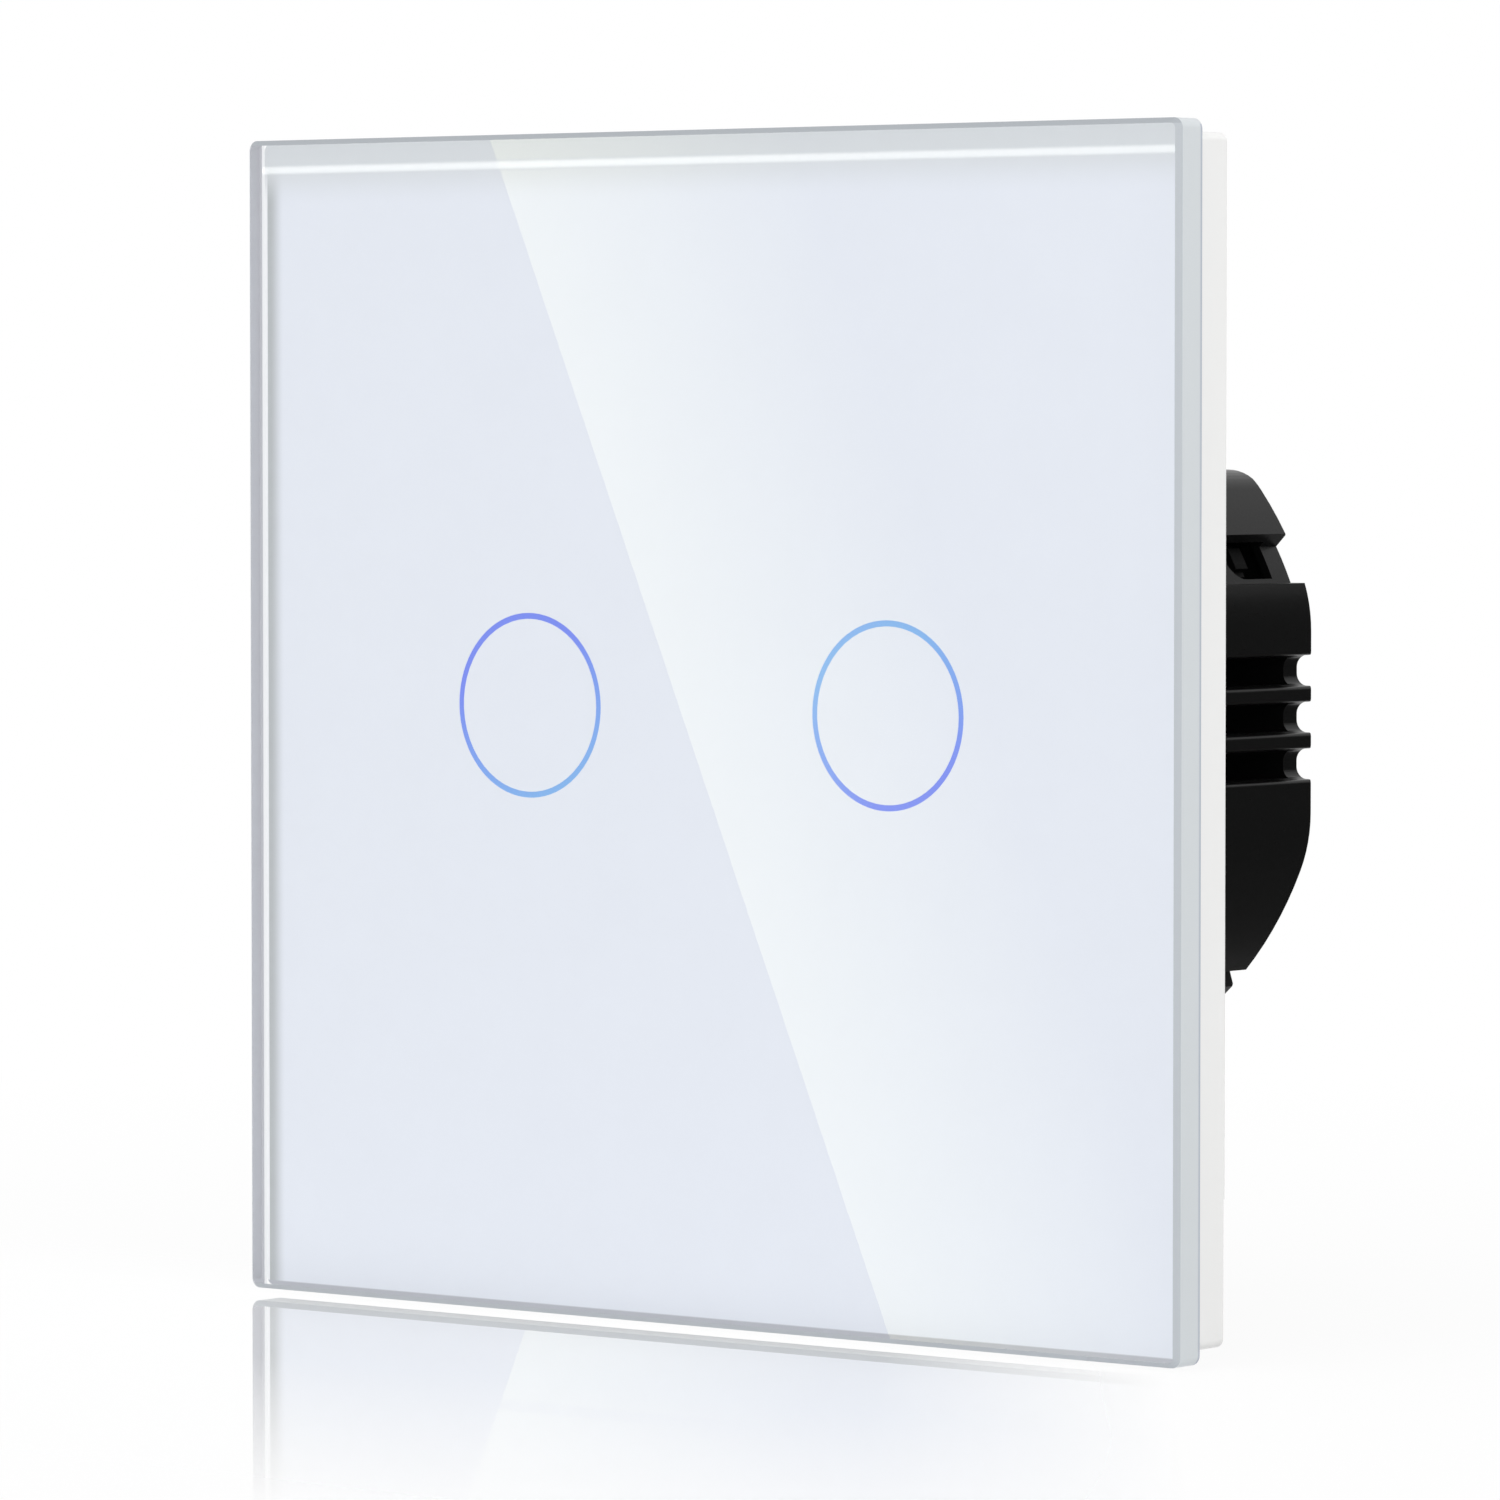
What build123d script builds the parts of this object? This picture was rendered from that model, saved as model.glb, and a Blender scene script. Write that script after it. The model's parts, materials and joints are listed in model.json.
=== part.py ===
from build123d import *
import os
from math import asin, degrees, sqrt

# Touch light switch with two touch keys, for a round 60 mm wall box.
# Millimetres. X runs to the right as seen from the room, Y into the wall and Z up.
# The origin is the middle of the wall plane, between the two wall box screws.
# Every slab is drawn on its rear face and extruded towards the room.

os.makedirs("parts", exist_ok=True)


def at_depth(depth):
    """Plane parallel to the wall at this depth behind it, facing the room."""
    return Plane.XZ.offset(-depth)


def finish(piece, name):
    """Label one finished piece and write it under its name."""
    piece.part.label = name
    export_step(piece.part, f"parts/{name}.step")


# Small clearances shared by all fits
sliding_gap = 0.15
thread_gap = 0.05
overrun = 1.0
sides = ((-1, "left"), (1, "right"))

# Glass panel and what is printed and stuck on its back
panel_depth = 6.5
glass_thickness = 2.5
glass_corner = 0.7
glass_bevel = 0.4
print_margin = 0.15
print_left_margin = 0.5
print_thickness = 0.1
print_corner = 0.6
ring_rise = 1.25
ring_radius = 6.29
ring_line = 0.4
tape_thickness = 0.2
tape_width = 2.6
tape_setback = 1.0

# White frame that carries the glass, and how far the glass overhangs it
frame_inset = 0.8
frame_corner = 0.6
frame_wall = 1.9
frame_web = 1.0
frame_edge_round = 0.3
web_side_width = 2.3
web_end_width = 10.3
window_corner = 4.0
relief_depth = 0.3
relief_height = 9.6
leg_width = 3.0
leg_setback = 4.5

# Steel mounting plate with slots for the wall box screws
yoke_thickness = 1.2
yoke_gap = 1.8
yoke_corner = 3.0
yoke_edge = 1.3
box_slot_width = 4.2
box_slot_length = 8.4
box_post_gap = 1.6

# Black round housing behind the plate
housing_depth = 31.0
housing_wall = 1.8
housing_flat_cut = 1.3
housing_flat_round = 10.0
housing_flat_wall = 2.1
housing_floor = 1.6
housing_edge = 0.15
label_recess_width = 25.0
label_recess_height = 12.0
label_recess_depth = 0.25
label_recess_rise = 6.0
corner_notch_angle = 44.9
corner_notch_depth = 1.1
corner_notch_length = 3.2
corner_notch_drop = 2.6
corner_notch_slant = 0.8
corner_step_inset = 0.43
corner_step_round = 3.6
latch_notch_low = 9.5
latch_notch_high = 12.85
latch_notch_depth = 1.2
latch_notch_slant = 1.25
latch_window_length = 4.9
latch_window_wall = 2.0
latch_window_margin = 0.3
latch_window_height = 2.5
latch_window_round = 1.9
vent_spacing = 3.2
vent_rise = 0.32
vent_height = 2.1
vent_depth = 1.3
vent_corner = 0.85
vent_edge_round = 0.3
vent_slot_edge = 0.1
vent_front_wall = 4.0
vents = 3

# Black front cover, a shallow tray in front of the plate
tray_floor = 0.8
tray_rim = 1.0
tray_height = 2.4
collar_wall = 1.4
collar_reach = 1.4
latch_arm_width = 2.4
latch_bump = 0.5
latch_bump_length = 1.4
latch_bump_width = 1.6

# Screws that hold cover, touch board and housing together
screw_setback = 2.4
upper_screw_angle = 57.0
lower_screw_angle = 38.0
cover_screw_radius = 1.1
cover_screw_head = 1.9
cover_screw_head_height = 0.8
cover_screw_length = 11.0
cover_screw_slot = 0.5
pillar_radius = 2.2
pillar_shoulder = 3.0

# Touch board in the tray
touch_board_thickness = 0.8
touch_board_gap = 0.2
guide_height = 0.95
guide_wall = 1.3
guide_overhang = 0.51
guide_margin = 0.8
led_length = 1.6
led_width = 0.8
led_height = 0.6
leds_per_ring = 4
touch_pad_gap = 0.9
chip_length = 6.0
chip_width = 4.4
chip_height = 0.85
chip_drop = 9.0
small_part_length = 1.6
small_part_width = 0.8
small_part_height = 0.5
small_part_spacing = 3.0
small_part_rise = 12.5
small_parts_across = 5

# Plug connection between the two boards
pins = 8
pin_spacing = 2.54
pin_width = 0.6
pin_end_room = 3.0
strip_width = 2.5
strip_height = 2.5
socket_gap = 0.4
socket_bore_extra = 0.6

# Power board, and the room behind it for its tallest parts
power_board_thickness = 1.6
parts_room = 18.4
board_rim = 2.1
board_play = 0.25
part_gap = 1.6
side_gap = 1.9

# Terminals: a rising cage on each screw grips the wire against a fixed busbar
terminal_spacing = 7.6
terminal_setback = 7.3
terminals = ("left_load", "live", "right_load")
cage_width = 6.0
cage_length = 6.0
cage_side = 0.9
cage_end = 1.2
wire_space = 3.4
cage_travel = 2.2
cage_front_room = 0.6
tongue_thickness = 1.0
tongue_width = 3.6
screw_head_radius = 2.3
screw_head_height = 2.2
screw_radius = 1.5
screw_slot_width = 0.8
screw_slot_depth = 0.9
shelf_thickness = 0.8
block_wall = 0.7
block_floor_gap = 0.2
head_recess = 1.35
wire_inlet_radius = 1.7
entry_radius = 1.9
bay_wall = 1.6
bay_side_gap = 1.15
bay_board_gap = 0.9
busbar_gap = 1.8

# Relays, one for each touch key
relay_width = 7.4
relay_head_room = 3.2
relay_wall = 0.7
relay_base = 1.6
relay_play = 0.1
iron_thickness = 1.2
leg_place = 1.0
bobbin_gap = 1.5
bobbin_radius = 2.5
bobbin_flange = 0.6
bobbin_lip = 0.6
core_radius = 1.1
pole_radius = 2.0
pole_height = 0.6
armature_thickness = 1.0
armature_gap = 0.75
armature_width = 5.0
armature_past_pole = 1.8
blade_thickness = 0.3
blade_width = 3.0
blade_room = 1.25
blade_end_gap = 1.5
contact_radius = 1.0
contact_height = 0.6
contact_gap = 1.55
contact_setback = 1.3
contact_post_width = 3.0

# Other parts on the power board
film_cap_width = 12.4
film_cap_height = 10.2
film_cap_thickness = 5.4
film_cap_setback = 5.7
film_cap_gap = 1.3
film_cap_round = 0.6
can_radius = 3.1
can_height = 11.5
can_round = 0.5
can_gap = 0.6
can_film_gap = 1.8
choke_gap = 1.1
choke_winding_step = 0.5
choke_height = 8.0
choke_flange = 1.0
fuse_gap = 0.9
fuse_busbar_gap = 1.9
fuse_radius = 1.2
fuse_cap_radius = 1.4
fuse_length = 7.0
fuse_cap_length = 1.4
fuse_lift = 0.1
varistor_radius = 3.4
varistor_thickness = 2.4
varistor_round = 0.8
side_part_rise = 1.0
resistor_radius = 1.2
resistor_length = 9.0
resistor_round = 0.5
lead_radius = 0.3
front_chip_length = 9.8
front_chip_width = 6.2
front_chip_height = 1.6
front_chip_gap = 3.65

# Plan of the power board: what stands side by side sets its radius
can_spread = can_radius + can_gap / 2
relay_spread = can_spread + can_radius + part_gap + relay_width / 2
side_part_spread = relay_spread + relay_width / 2 + side_gap + varistor_thickness / 2
power_board_radius = side_part_spread + varistor_thickness / 2 + board_rim
screw_circle = power_board_radius - screw_setback

# The housing goes round the board, and the wall box screws stand beside its flats, 60 mm apart
cavity_radius = power_board_radius + board_play + collar_wall + sliding_gap
housing_radius = cavity_radius + housing_wall
housing_flat = housing_radius - housing_flat_cut
cavity_flat = housing_flat - housing_flat_wall
box_screw_spacing = 2 * (housing_flat + box_post_gap) + box_slot_length
yoke_width = box_screw_spacing + box_slot_length + 2 * yoke_edge
frame_inside = yoke_width + 2 * yoke_gap
frame_width = frame_inside + 2 * frame_wall
panel_width = frame_width + 2 * frame_inset
print_width = panel_width - print_left_margin - print_margin
print_height = panel_width - 2 * print_margin
print_shift = (print_left_margin - print_margin) / 2
window_width = frame_inside - 2 * web_side_width
window_height = frame_inside - 2 * web_end_width
leg_reach = yoke_width / 2 - leg_setback
collar_radius = cavity_radius - sliding_gap
collar_flat = cavity_flat - sliding_gap

# The touch keys sit as far apart as the touch board allows
touch_board_radius = housing_radius - tray_rim - touch_board_gap
touch_board_flat = housing_flat - tray_rim - touch_board_gap
guide_outer = ring_radius + guide_overhang
guide_inner = guide_outer - guide_wall
touch_pad_radius = guide_inner - touch_pad_gap
ring_reach = touch_board_flat - guide_margin - guide_outer
ring_places = [(side * ring_reach, ring_rise) for side, _ in sides]

# Depths of the front pieces, from the room to the wall plane at zero
glass_front = -panel_depth
glass_back = glass_front + glass_thickness
print_back = glass_back + print_thickness
frame_front = print_back + tape_thickness
web_back = frame_front + frame_web
tray_back = -yoke_thickness
board_back = tray_back - tray_floor
board_front = board_back - touch_board_thickness

# Depths inside the housing: the parts stand off its rear wall, the plug takes up the rest
floor_inside = housing_depth - housing_floor
power_back = floor_inside - parts_room
power_front = power_back - power_board_thickness
strip_end = board_back + strip_height
socket_front = strip_end + socket_gap
socket_height = power_front - socket_front
pin_reach = socket_height - pin_end_room

# Places of the screws that run from the cover into the housing's pillars
upper_screw = Vector(screw_circle, 0).rotate(Axis.Z, upper_screw_angle)
lower_screw = Vector(screw_circle, 0).rotate(Axis.Z, -lower_screw_angle)
screw_places = [(side * place.X, place.Y) for side, _ in sides for place in (upper_screw, lower_screw)]

# Terminals, from the screw head at the rear wall forward to the wire space
terminal_drop = power_board_radius - terminal_setback
terminal_places = [(index * terminal_spacing, -terminal_drop) for index in (-1, 0, 1)]
head_back = housing_depth - head_recess
shelf_back = head_back - screw_head_height
shelf_front = shelf_back - shelf_thickness
cage_back = shelf_front - sliding_gap - cage_travel
cage_rear_inside = cage_back - cage_end
tongue_back = cage_rear_inside - cage_travel / 2
tongue_front = tongue_back - tongue_thickness
wire_middle = tongue_front - wire_space / 2
cage_front = tongue_front - wire_space - cage_end
chamber_front = cage_front - cage_front_room
block_back = floor_inside - block_floor_gap
chamber_width = cage_width + 2 * sliding_gap
chamber_length = cage_length + 2 * sliding_gap
chamber_low = -terminal_drop - chamber_length / 2
block_low = chamber_low - block_wall
block_high = -terminal_drop + chamber_length / 2 + block_wall
block_width = 2 * terminal_spacing + chamber_width + 2 * block_wall
well_radius = screw_head_radius + sliding_gap
tongue_low = -terminal_drop - cage_length / 2
leg_low = block_high + sliding_gap
leg_high = leg_low + tongue_thickness
bay_wall_high = block_low - block_floor_gap
bay_roof = bay_wall_high - bay_wall
bay_half_width = block_width / 2 + bay_side_gap
bay_start = power_back + bay_board_gap + bay_wall

# Up the power board: relays between busbars and film capacitor, the choke fills the middle
film_cap_rise = power_board_radius - film_cap_setback
film_cap_low = film_cap_rise - film_cap_thickness / 2
relay_bottom = leg_high + busbar_gap
relay_length = film_cap_low - film_cap_gap - relay_bottom
relay_height = parts_room - relay_head_room
can_rise = film_cap_low - can_film_gap - can_radius
fuse_rise = leg_high + fuse_busbar_gap + fuse_cap_radius
choke_low = fuse_rise + fuse_cap_radius + fuse_gap
choke_high = can_rise - can_radius - choke_gap
choke_radius = (choke_high - choke_low) / 2
choke_rise = (choke_high + choke_low) / 2
choke_winding_radius = choke_radius - choke_winding_step
front_chip_rise = strip_width / 2 + front_chip_gap + front_chip_width / 2

# Latch windows near the housing's rear, and the arms of the cover that reach them
latch_window_end = housing_depth - latch_window_wall
latch_window_low = latch_notch_low + latch_window_margin
latch_window_middle = latch_window_low + latch_window_height / 2
latch_arm_end = latch_window_end - latch_window_wall


def module_outline(radius, flat, corner=0, mode=Mode.ADD):
    """Circle with a flat on each side, clear of the wall box's screw posts, and eased corners."""
    with BuildSketch(mode=Mode.PRIVATE) as outline:
        Circle(radius)
        Rectangle(2 * flat, 2 * radius, mode=Mode.INTERSECT)
        if corner:
            fillet(outline.vertices(), radius=corner)
    add(outline.sketch, mode=mode)


# Front panel: glass, its print, the tape and the white frame, which come off as one
with BuildPart() as glass_panel:
    with BuildSketch(at_depth(glass_back)):
        RectangleRounded(panel_width, panel_width, glass_corner)
    extrude(amount=glass_thickness)
    chamfer(glass_panel.faces().sort_by(Axis.Y)[0].edges(), length=glass_bevel)
finish(glass_panel, "glass_panel")

with BuildPart() as white_print:
    with BuildSketch(at_depth(print_back)):
        with Locations((print_shift, 0)):
            RectangleRounded(print_width, print_height, print_corner)
        with Locations(*ring_places):
            Circle(ring_radius, mode=Mode.SUBTRACT)
            Circle(ring_radius - ring_line)
    extrude(amount=print_thickness)
finish(white_print, "white_print")

for place, (_, side_name) in zip(ring_places, sides):
    with BuildPart() as ring_window:
        with BuildSketch(at_depth(print_back)):
            with Locations(place):
                Circle(ring_radius)
                Circle(ring_radius - ring_line, mode=Mode.SUBTRACT)
        extrude(amount=print_thickness)
    finish(ring_window, f"{side_name}_ring_window")

with BuildPart() as bonding_tape:
    tape_outside = frame_width - 2 * tape_setback
    tape_inside = tape_outside - 2 * tape_width
    with BuildSketch(at_depth(frame_front)):
        Rectangle(tape_outside, tape_outside)
        Rectangle(tape_inside, tape_inside, mode=Mode.SUBTRACT)
    extrude(amount=tape_thickness)
finish(bonding_tape, "bonding_tape")

with BuildPart() as panel_frame:
    with BuildSketch(at_depth(0)):
        RectangleRounded(frame_width, frame_width, frame_corner)
    extrude(amount=-frame_front)
    fillet(panel_frame.faces().sort_by(Axis.Y)[-1].edges(), radius=frame_edge_round)
    with BuildSketch(at_depth(0)):
        Rectangle(frame_inside, frame_inside)
    extrude(amount=-web_back, mode=Mode.SUBTRACT)
    with BuildSketch(at_depth(web_back)):
        RectangleRounded(window_width, window_height, window_corner)
    extrude(amount=frame_web, mode=Mode.SUBTRACT)
    # The rear edge is relieved at the bottom, where a blade prises the panel off
    with BuildSketch(at_depth(0)):
        with Locations((0, (relief_height - frame_width) / 2)):
            Rectangle(frame_width, relief_height)
    extrude(amount=relief_depth, mode=Mode.SUBTRACT)
    # Four legs press into the square holes of the mounting plate
    with BuildSketch(at_depth(-relief_depth)):
        with GridLocations(2 * leg_reach, 2 * leg_reach, 2, 2):
            Rectangle(leg_width, leg_width)
    extrude(amount=-web_back - relief_depth)
finish(panel_frame, "panel_frame")

# Steel mounting plate
with BuildPart() as mounting_plate:
    with BuildSketch(at_depth(0)):
        RectangleRounded(yoke_width, yoke_width, yoke_corner)
        module_outline(cavity_radius, cavity_flat, mode=Mode.SUBTRACT)
        with GridLocations(2 * leg_reach, 2 * leg_reach, 2, 2):
            leg_hole = leg_width + 2 * sliding_gap
            Rectangle(leg_hole, leg_hole, mode=Mode.SUBTRACT)
        with GridLocations(box_screw_spacing, 0, 2, 1):
            SlotOverall(box_slot_length, box_slot_width, mode=Mode.SUBTRACT)
    extrude(amount=yoke_thickness)
finish(mounting_plate, "mounting_plate")

# Black front cover: tray, collar through the plate, bosses and two latch arms
latch_angle = degrees(asin(latch_window_middle / cavity_radius))
latch_directions = (latch_angle, 180 - latch_angle)
strip_length = pins * pin_spacing

with BuildPart() as front_cover:
    with BuildSketch(at_depth(tray_back)):
        module_outline(housing_radius, housing_flat, housing_flat_round)
    extrude(amount=tray_height)
    with BuildSketch(at_depth(board_back)):
        module_outline(housing_radius - tray_rim, housing_flat - tray_rim)
    extrude(amount=tray_height - tray_floor, mode=Mode.SUBTRACT)
    with BuildSketch(at_depth(collar_reach)):
        module_outline(collar_radius, collar_flat)
        module_outline(collar_radius - collar_wall, collar_flat - collar_wall, mode=Mode.SUBTRACT)
        with Locations(*screw_places):
            Circle(pillar_radius)
    extrude(amount=collar_reach - tray_back)
    arm_middle = collar_radius - collar_wall / 2
    with BuildSketch(at_depth(latch_arm_end)):
        for direction in latch_directions:
            with PolarLocations(arm_middle, 1, start_angle=direction):
                Rectangle(2 * collar_wall, latch_arm_width)
        Circle(collar_radius, mode=Mode.INTERSECT)
        Circle(collar_radius - collar_wall, mode=Mode.SUBTRACT)
    extrude(amount=latch_arm_end - collar_reach)
    with BuildSketch(at_depth(latch_arm_end)):
        for direction in latch_directions:
            with PolarLocations(collar_radius, 1, start_angle=direction):
                Rectangle(2 * latch_bump, latch_bump_width)
        Circle(collar_radius + latch_bump, mode=Mode.INTERSECT)
        Circle(collar_radius, mode=Mode.SUBTRACT)
    extrude(amount=latch_bump_length)
    with BuildSketch(at_depth(tray_back)):
        Rectangle(strip_length + 2 * sliding_gap, strip_width + 2 * sliding_gap)
    extrude(amount=tray_floor, mode=Mode.SUBTRACT)
    with BuildSketch(at_depth(collar_reach)):
        with Locations(*screw_places):
            Circle(cover_screw_radius + sliding_gap)
    extrude(amount=collar_reach - board_back, mode=Mode.SUBTRACT)
finish(front_cover, "front_cover")

# Touch board and what it carries: light guides, lamps, electrodes and chips
with BuildPart() as touch_board:
    with BuildSketch(at_depth(board_back)):
        module_outline(touch_board_radius, touch_board_flat)
        with Locations(*screw_places):
            Circle(cover_screw_radius + sliding_gap, mode=Mode.SUBTRACT)
    extrude(amount=touch_board_thickness)
finish(touch_board, "touch_board")

led_circle = (guide_inner + guide_outer) / 2
lamp_directions = 360 / leds_per_ring / 2
for place, (_, side_name) in zip(ring_places, sides):
    with BuildPart() as light_guide:
        with BuildSketch(at_depth(board_front)):
            with Locations(place):
                Circle(guide_outer)
                Circle(guide_inner, mode=Mode.SUBTRACT)
        extrude(amount=guide_height)
        with BuildSketch(at_depth(board_front)):
            with Locations(place):
                with PolarLocations(led_circle, leds_per_ring, start_angle=lamp_directions):
                    Rectangle(led_width + 2 * sliding_gap, led_length + 2 * sliding_gap)
        extrude(amount=led_height + sliding_gap, mode=Mode.SUBTRACT)
    finish(light_guide, f"{side_name}_light_guide")

    with BuildPart() as touch_pad:
        with BuildSketch(at_depth(board_front)):
            with Locations(place):
                Circle(touch_pad_radius)
        extrude(amount=guide_height)
    finish(touch_pad, f"{side_name}_touch_pad")

with BuildPart() as indicator_leds:
    with BuildSketch(at_depth(board_front)):
        with Locations(*ring_places):
            with PolarLocations(led_circle, leds_per_ring, start_angle=lamp_directions):
                Rectangle(led_width, led_length)
    extrude(amount=led_height)
finish(indicator_leds, "indicator_leds")

with BuildPart() as touch_chip:
    with BuildSketch(at_depth(board_front)):
        with Locations((0, -chip_drop)):
            Rectangle(chip_length, chip_width)
    extrude(amount=chip_height)
finish(touch_chip, "touch_chip")

with BuildPart() as board_resistors:
    with BuildSketch(at_depth(board_front)):
        for row in (1, -1):
            with Locations((0, row * small_part_rise)):
                with GridLocations(small_part_spacing, 0, small_parts_across, 1):
                    Rectangle(small_part_width, small_part_length)
    extrude(amount=small_part_height)
finish(board_resistors, "board_resistors")

# Plug connection: a strip of pins under the touch board, a socket on the power board
with BuildPart() as pin_strip:
    with BuildSketch(at_depth(strip_end)):
        Rectangle(strip_length, strip_width)
    extrude(amount=strip_height)
finish(pin_strip, "pin_strip")

with BuildPart() as header_pins:
    with BuildSketch(at_depth(strip_end + pin_reach)):
        with GridLocations(pin_spacing, 0, pins, 1):
            Rectangle(pin_width, pin_width)
    extrude(amount=pin_reach)
finish(header_pins, "header_pins")

with BuildPart() as header_socket:
    with BuildSketch(at_depth(power_front)):
        Rectangle(strip_length, strip_width)
    extrude(amount=socket_height)
    bore_depth = pin_reach - socket_gap + socket_bore_extra
    with BuildSketch(at_depth(socket_front + bore_depth)):
        with GridLocations(pin_spacing, 0, pins, 1):
            Rectangle(pin_width + 2 * thread_gap, pin_width + 2 * thread_gap)
    extrude(amount=bore_depth, mode=Mode.SUBTRACT)
finish(header_socket, "header_socket")

# Black rear housing
with BuildPart() as rear_housing:
    with BuildSketch(at_depth(housing_depth)):
        module_outline(housing_radius, housing_flat, housing_flat_round)
    extrude(amount=housing_depth)
    chamfer(rear_housing.faces().sort_by(Axis.Y)[-1].edges(), length=housing_edge)
    with BuildSketch(at_depth(floor_inside)):
        module_outline(cavity_radius, cavity_flat)
    extrude(amount=floor_inside, mode=Mode.SUBTRACT)
    # Walls around the wire bay, then the bay itself, open below and behind
    bay_outside = bay_half_width + bay_wall
    with BuildSketch(at_depth(housing_depth - housing_edge)):
        with Locations((0, (bay_wall_high - housing_radius) / 2)):
            Rectangle(2 * bay_outside, bay_wall_high + housing_radius)
        Circle(housing_radius, mode=Mode.INTERSECT)
    extrude(amount=housing_depth - housing_edge - (bay_start - bay_wall))
    with BuildSketch(at_depth(housing_depth)):
        with Locations((0, (bay_roof - housing_radius - overrun) / 2)):
            Rectangle(2 * bay_half_width, bay_roof + housing_radius + overrun)
    extrude(amount=housing_depth - bay_start, mode=Mode.SUBTRACT)
    with BuildSketch(Plane.XY.offset(bay_roof)):
        with Locations(*[(place[0], wire_middle) for place in terminal_places]):
            Circle(entry_radius)
    extrude(amount=bay_wall, mode=Mode.SUBTRACT)
    # Stepped pillars: the shoulder carries the power board, the tip meets the cover
    with BuildSketch(at_depth(floor_inside)):
        with Locations(*screw_places):
            Circle(pillar_shoulder)
    extrude(amount=floor_inside - power_back)
    with BuildSketch(at_depth(power_back)):
        with Locations(*screw_places):
            Circle(pillar_radius)
    extrude(amount=power_back - collar_reach)
    pilot_depth = cover_screw_length - collar_reach + board_front + overrun
    with BuildSketch(at_depth(collar_reach + pilot_depth)):
        with Locations(*screw_places):
            Circle(cover_screw_radius + thread_gap)
    extrude(amount=pilot_depth, mode=Mode.SUBTRACT)
    # Screwdriver holes over the terminal screws, and a shallow bare label field
    with BuildSketch(at_depth(housing_depth)):
        with Locations(*terminal_places):
            Circle(well_radius)
    extrude(amount=housing_floor, mode=Mode.SUBTRACT)
    with BuildSketch(at_depth(housing_depth)):
        with Locations((0, label_recess_rise)):
            Rectangle(label_recess_width, label_recess_height)
    extrude(amount=label_recess_depth, mode=Mode.SUBTRACT)
    # Four small corner notches along the round wall, round-edged steps above and hooks below
    notch_root = Vector(housing_radius - corner_notch_depth, 0).rotate(Axis.Z, corner_notch_angle)
    notch_across, notch_up = notch_root.X, notch_root.Y
    with BuildSketch(at_depth(housing_depth)):
        for across in (-1, 1):
            for up, root, slant in (
                (-1, notch_across, corner_notch_slant), (1, notch_across - corner_step_inset, 0),
            ):
                with BuildLine():
                    Polyline(
                        (across * root, up * notch_up),
                        (across * (notch_across + corner_notch_length), up * notch_up),
                        (across * (root + slant), up * (notch_up + corner_notch_drop)),
                        close=True,
                    )
                make_face()
    extrude(amount=housing_depth, mode=Mode.SUBTRACT)
    step_edge = sqrt(housing_radius**2 - notch_up**2)
    step_edges = [
        edge for edge in rear_housing.edges().filter_by(Axis.Y)
        if abs(edge.center().Z - notch_up) < overrun and abs(abs(edge.center().X) - step_edge) < overrun
    ]
    fillet(step_edges, radius=corner_step_round)
    # Upper side notches, whose floors hold the latch windows
    notch_outside = housing_radius + overrun
    notch_floor = housing_radius - latch_notch_depth
    notch_corner = sqrt(housing_radius**2 - latch_notch_high**2)
    with BuildSketch(at_depth(housing_depth)):
        for across in (-1, 1):
            with BuildLine():
                Polyline(
                    (across * (notch_corner - latch_notch_slant), latch_notch_low),
                    (across * notch_outside, latch_notch_low),
                    (across * notch_outside, latch_notch_high),
                    (across * notch_corner, latch_notch_high),
                    (across * (notch_corner - latch_notch_slant), latch_notch_high - latch_notch_slant),
                    close=True,
                )
            make_face()
        Circle(notch_floor, mode=Mode.SUBTRACT)
    extrude(amount=housing_depth, mode=Mode.SUBTRACT)
    with BuildSketch(Plane.YZ):
        with Locations((latch_window_end - latch_window_length / 2, latch_window_middle)):
            window = Rectangle(latch_window_length, latch_window_height)
        fillet(window.vertices().group_by(Axis.X)[0].sort_by(Axis.Y)[0], radius=latch_window_round)
    extrude(amount=notch_outside, both=True, mode=Mode.SUBTRACT)
    # Three flutes with rounded edges on each flat, slotted right through as far as the rear wall
    flutes_reach = vents * vent_spacing / 2
    with BuildSketch(at_depth(housing_depth)) as flutes:
        with Locations((0, vent_rise)):
            with GridLocations(2 * housing_flat, vent_spacing, 2, vents):
                RectangleRounded(2 * vent_depth, vent_height, vent_corner)
            with GridLocations(2 * housing_flat + overrun, 0, 2, 1):
                Rectangle(overrun, 2 * flutes_reach)
        flute_edges = [
            point for point in flutes.vertices()
            if abs(abs(point.X) - housing_flat) < thread_gap
            and abs(point.Y - vent_rise) < flutes_reach - thread_gap
        ]
        fillet(flute_edges, radius=vent_edge_round)
    extrude(amount=housing_depth - vent_front_wall, mode=Mode.SUBTRACT)
    slot_inside = cavity_flat - overrun
    slot_reach = housing_flat + overrun - slot_inside
    with BuildSketch(at_depth(floor_inside)):
        with Locations((0, vent_rise)):
            with GridLocations(2 * slot_inside + slot_reach, vent_spacing, 2, vents):
                Rectangle(slot_reach, vent_height - 2 * vent_slot_edge)
    extrude(amount=floor_inside - vent_front_wall, mode=Mode.SUBTRACT)
finish(rear_housing, "rear_housing")

with BuildPart() as cover_screws:
    with BuildSketch(at_depth(board_front)):
        with Locations(*screw_places):
            Circle(cover_screw_head)
    extrude(amount=cover_screw_head_height)
    with BuildSketch(at_depth(board_front + cover_screw_length)):
        with Locations(*screw_places):
            Circle(cover_screw_radius)
    extrude(amount=cover_screw_length)
    with BuildSketch(at_depth(board_front - cover_screw_slot)):
        with Locations(*screw_places):
            Rectangle(2 * cover_screw_radius, cover_screw_slot)
            Rectangle(cover_screw_slot, 2 * cover_screw_radius)
    extrude(amount=cover_screw_head_height, mode=Mode.SUBTRACT)
finish(cover_screws, "cover_screws")

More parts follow.
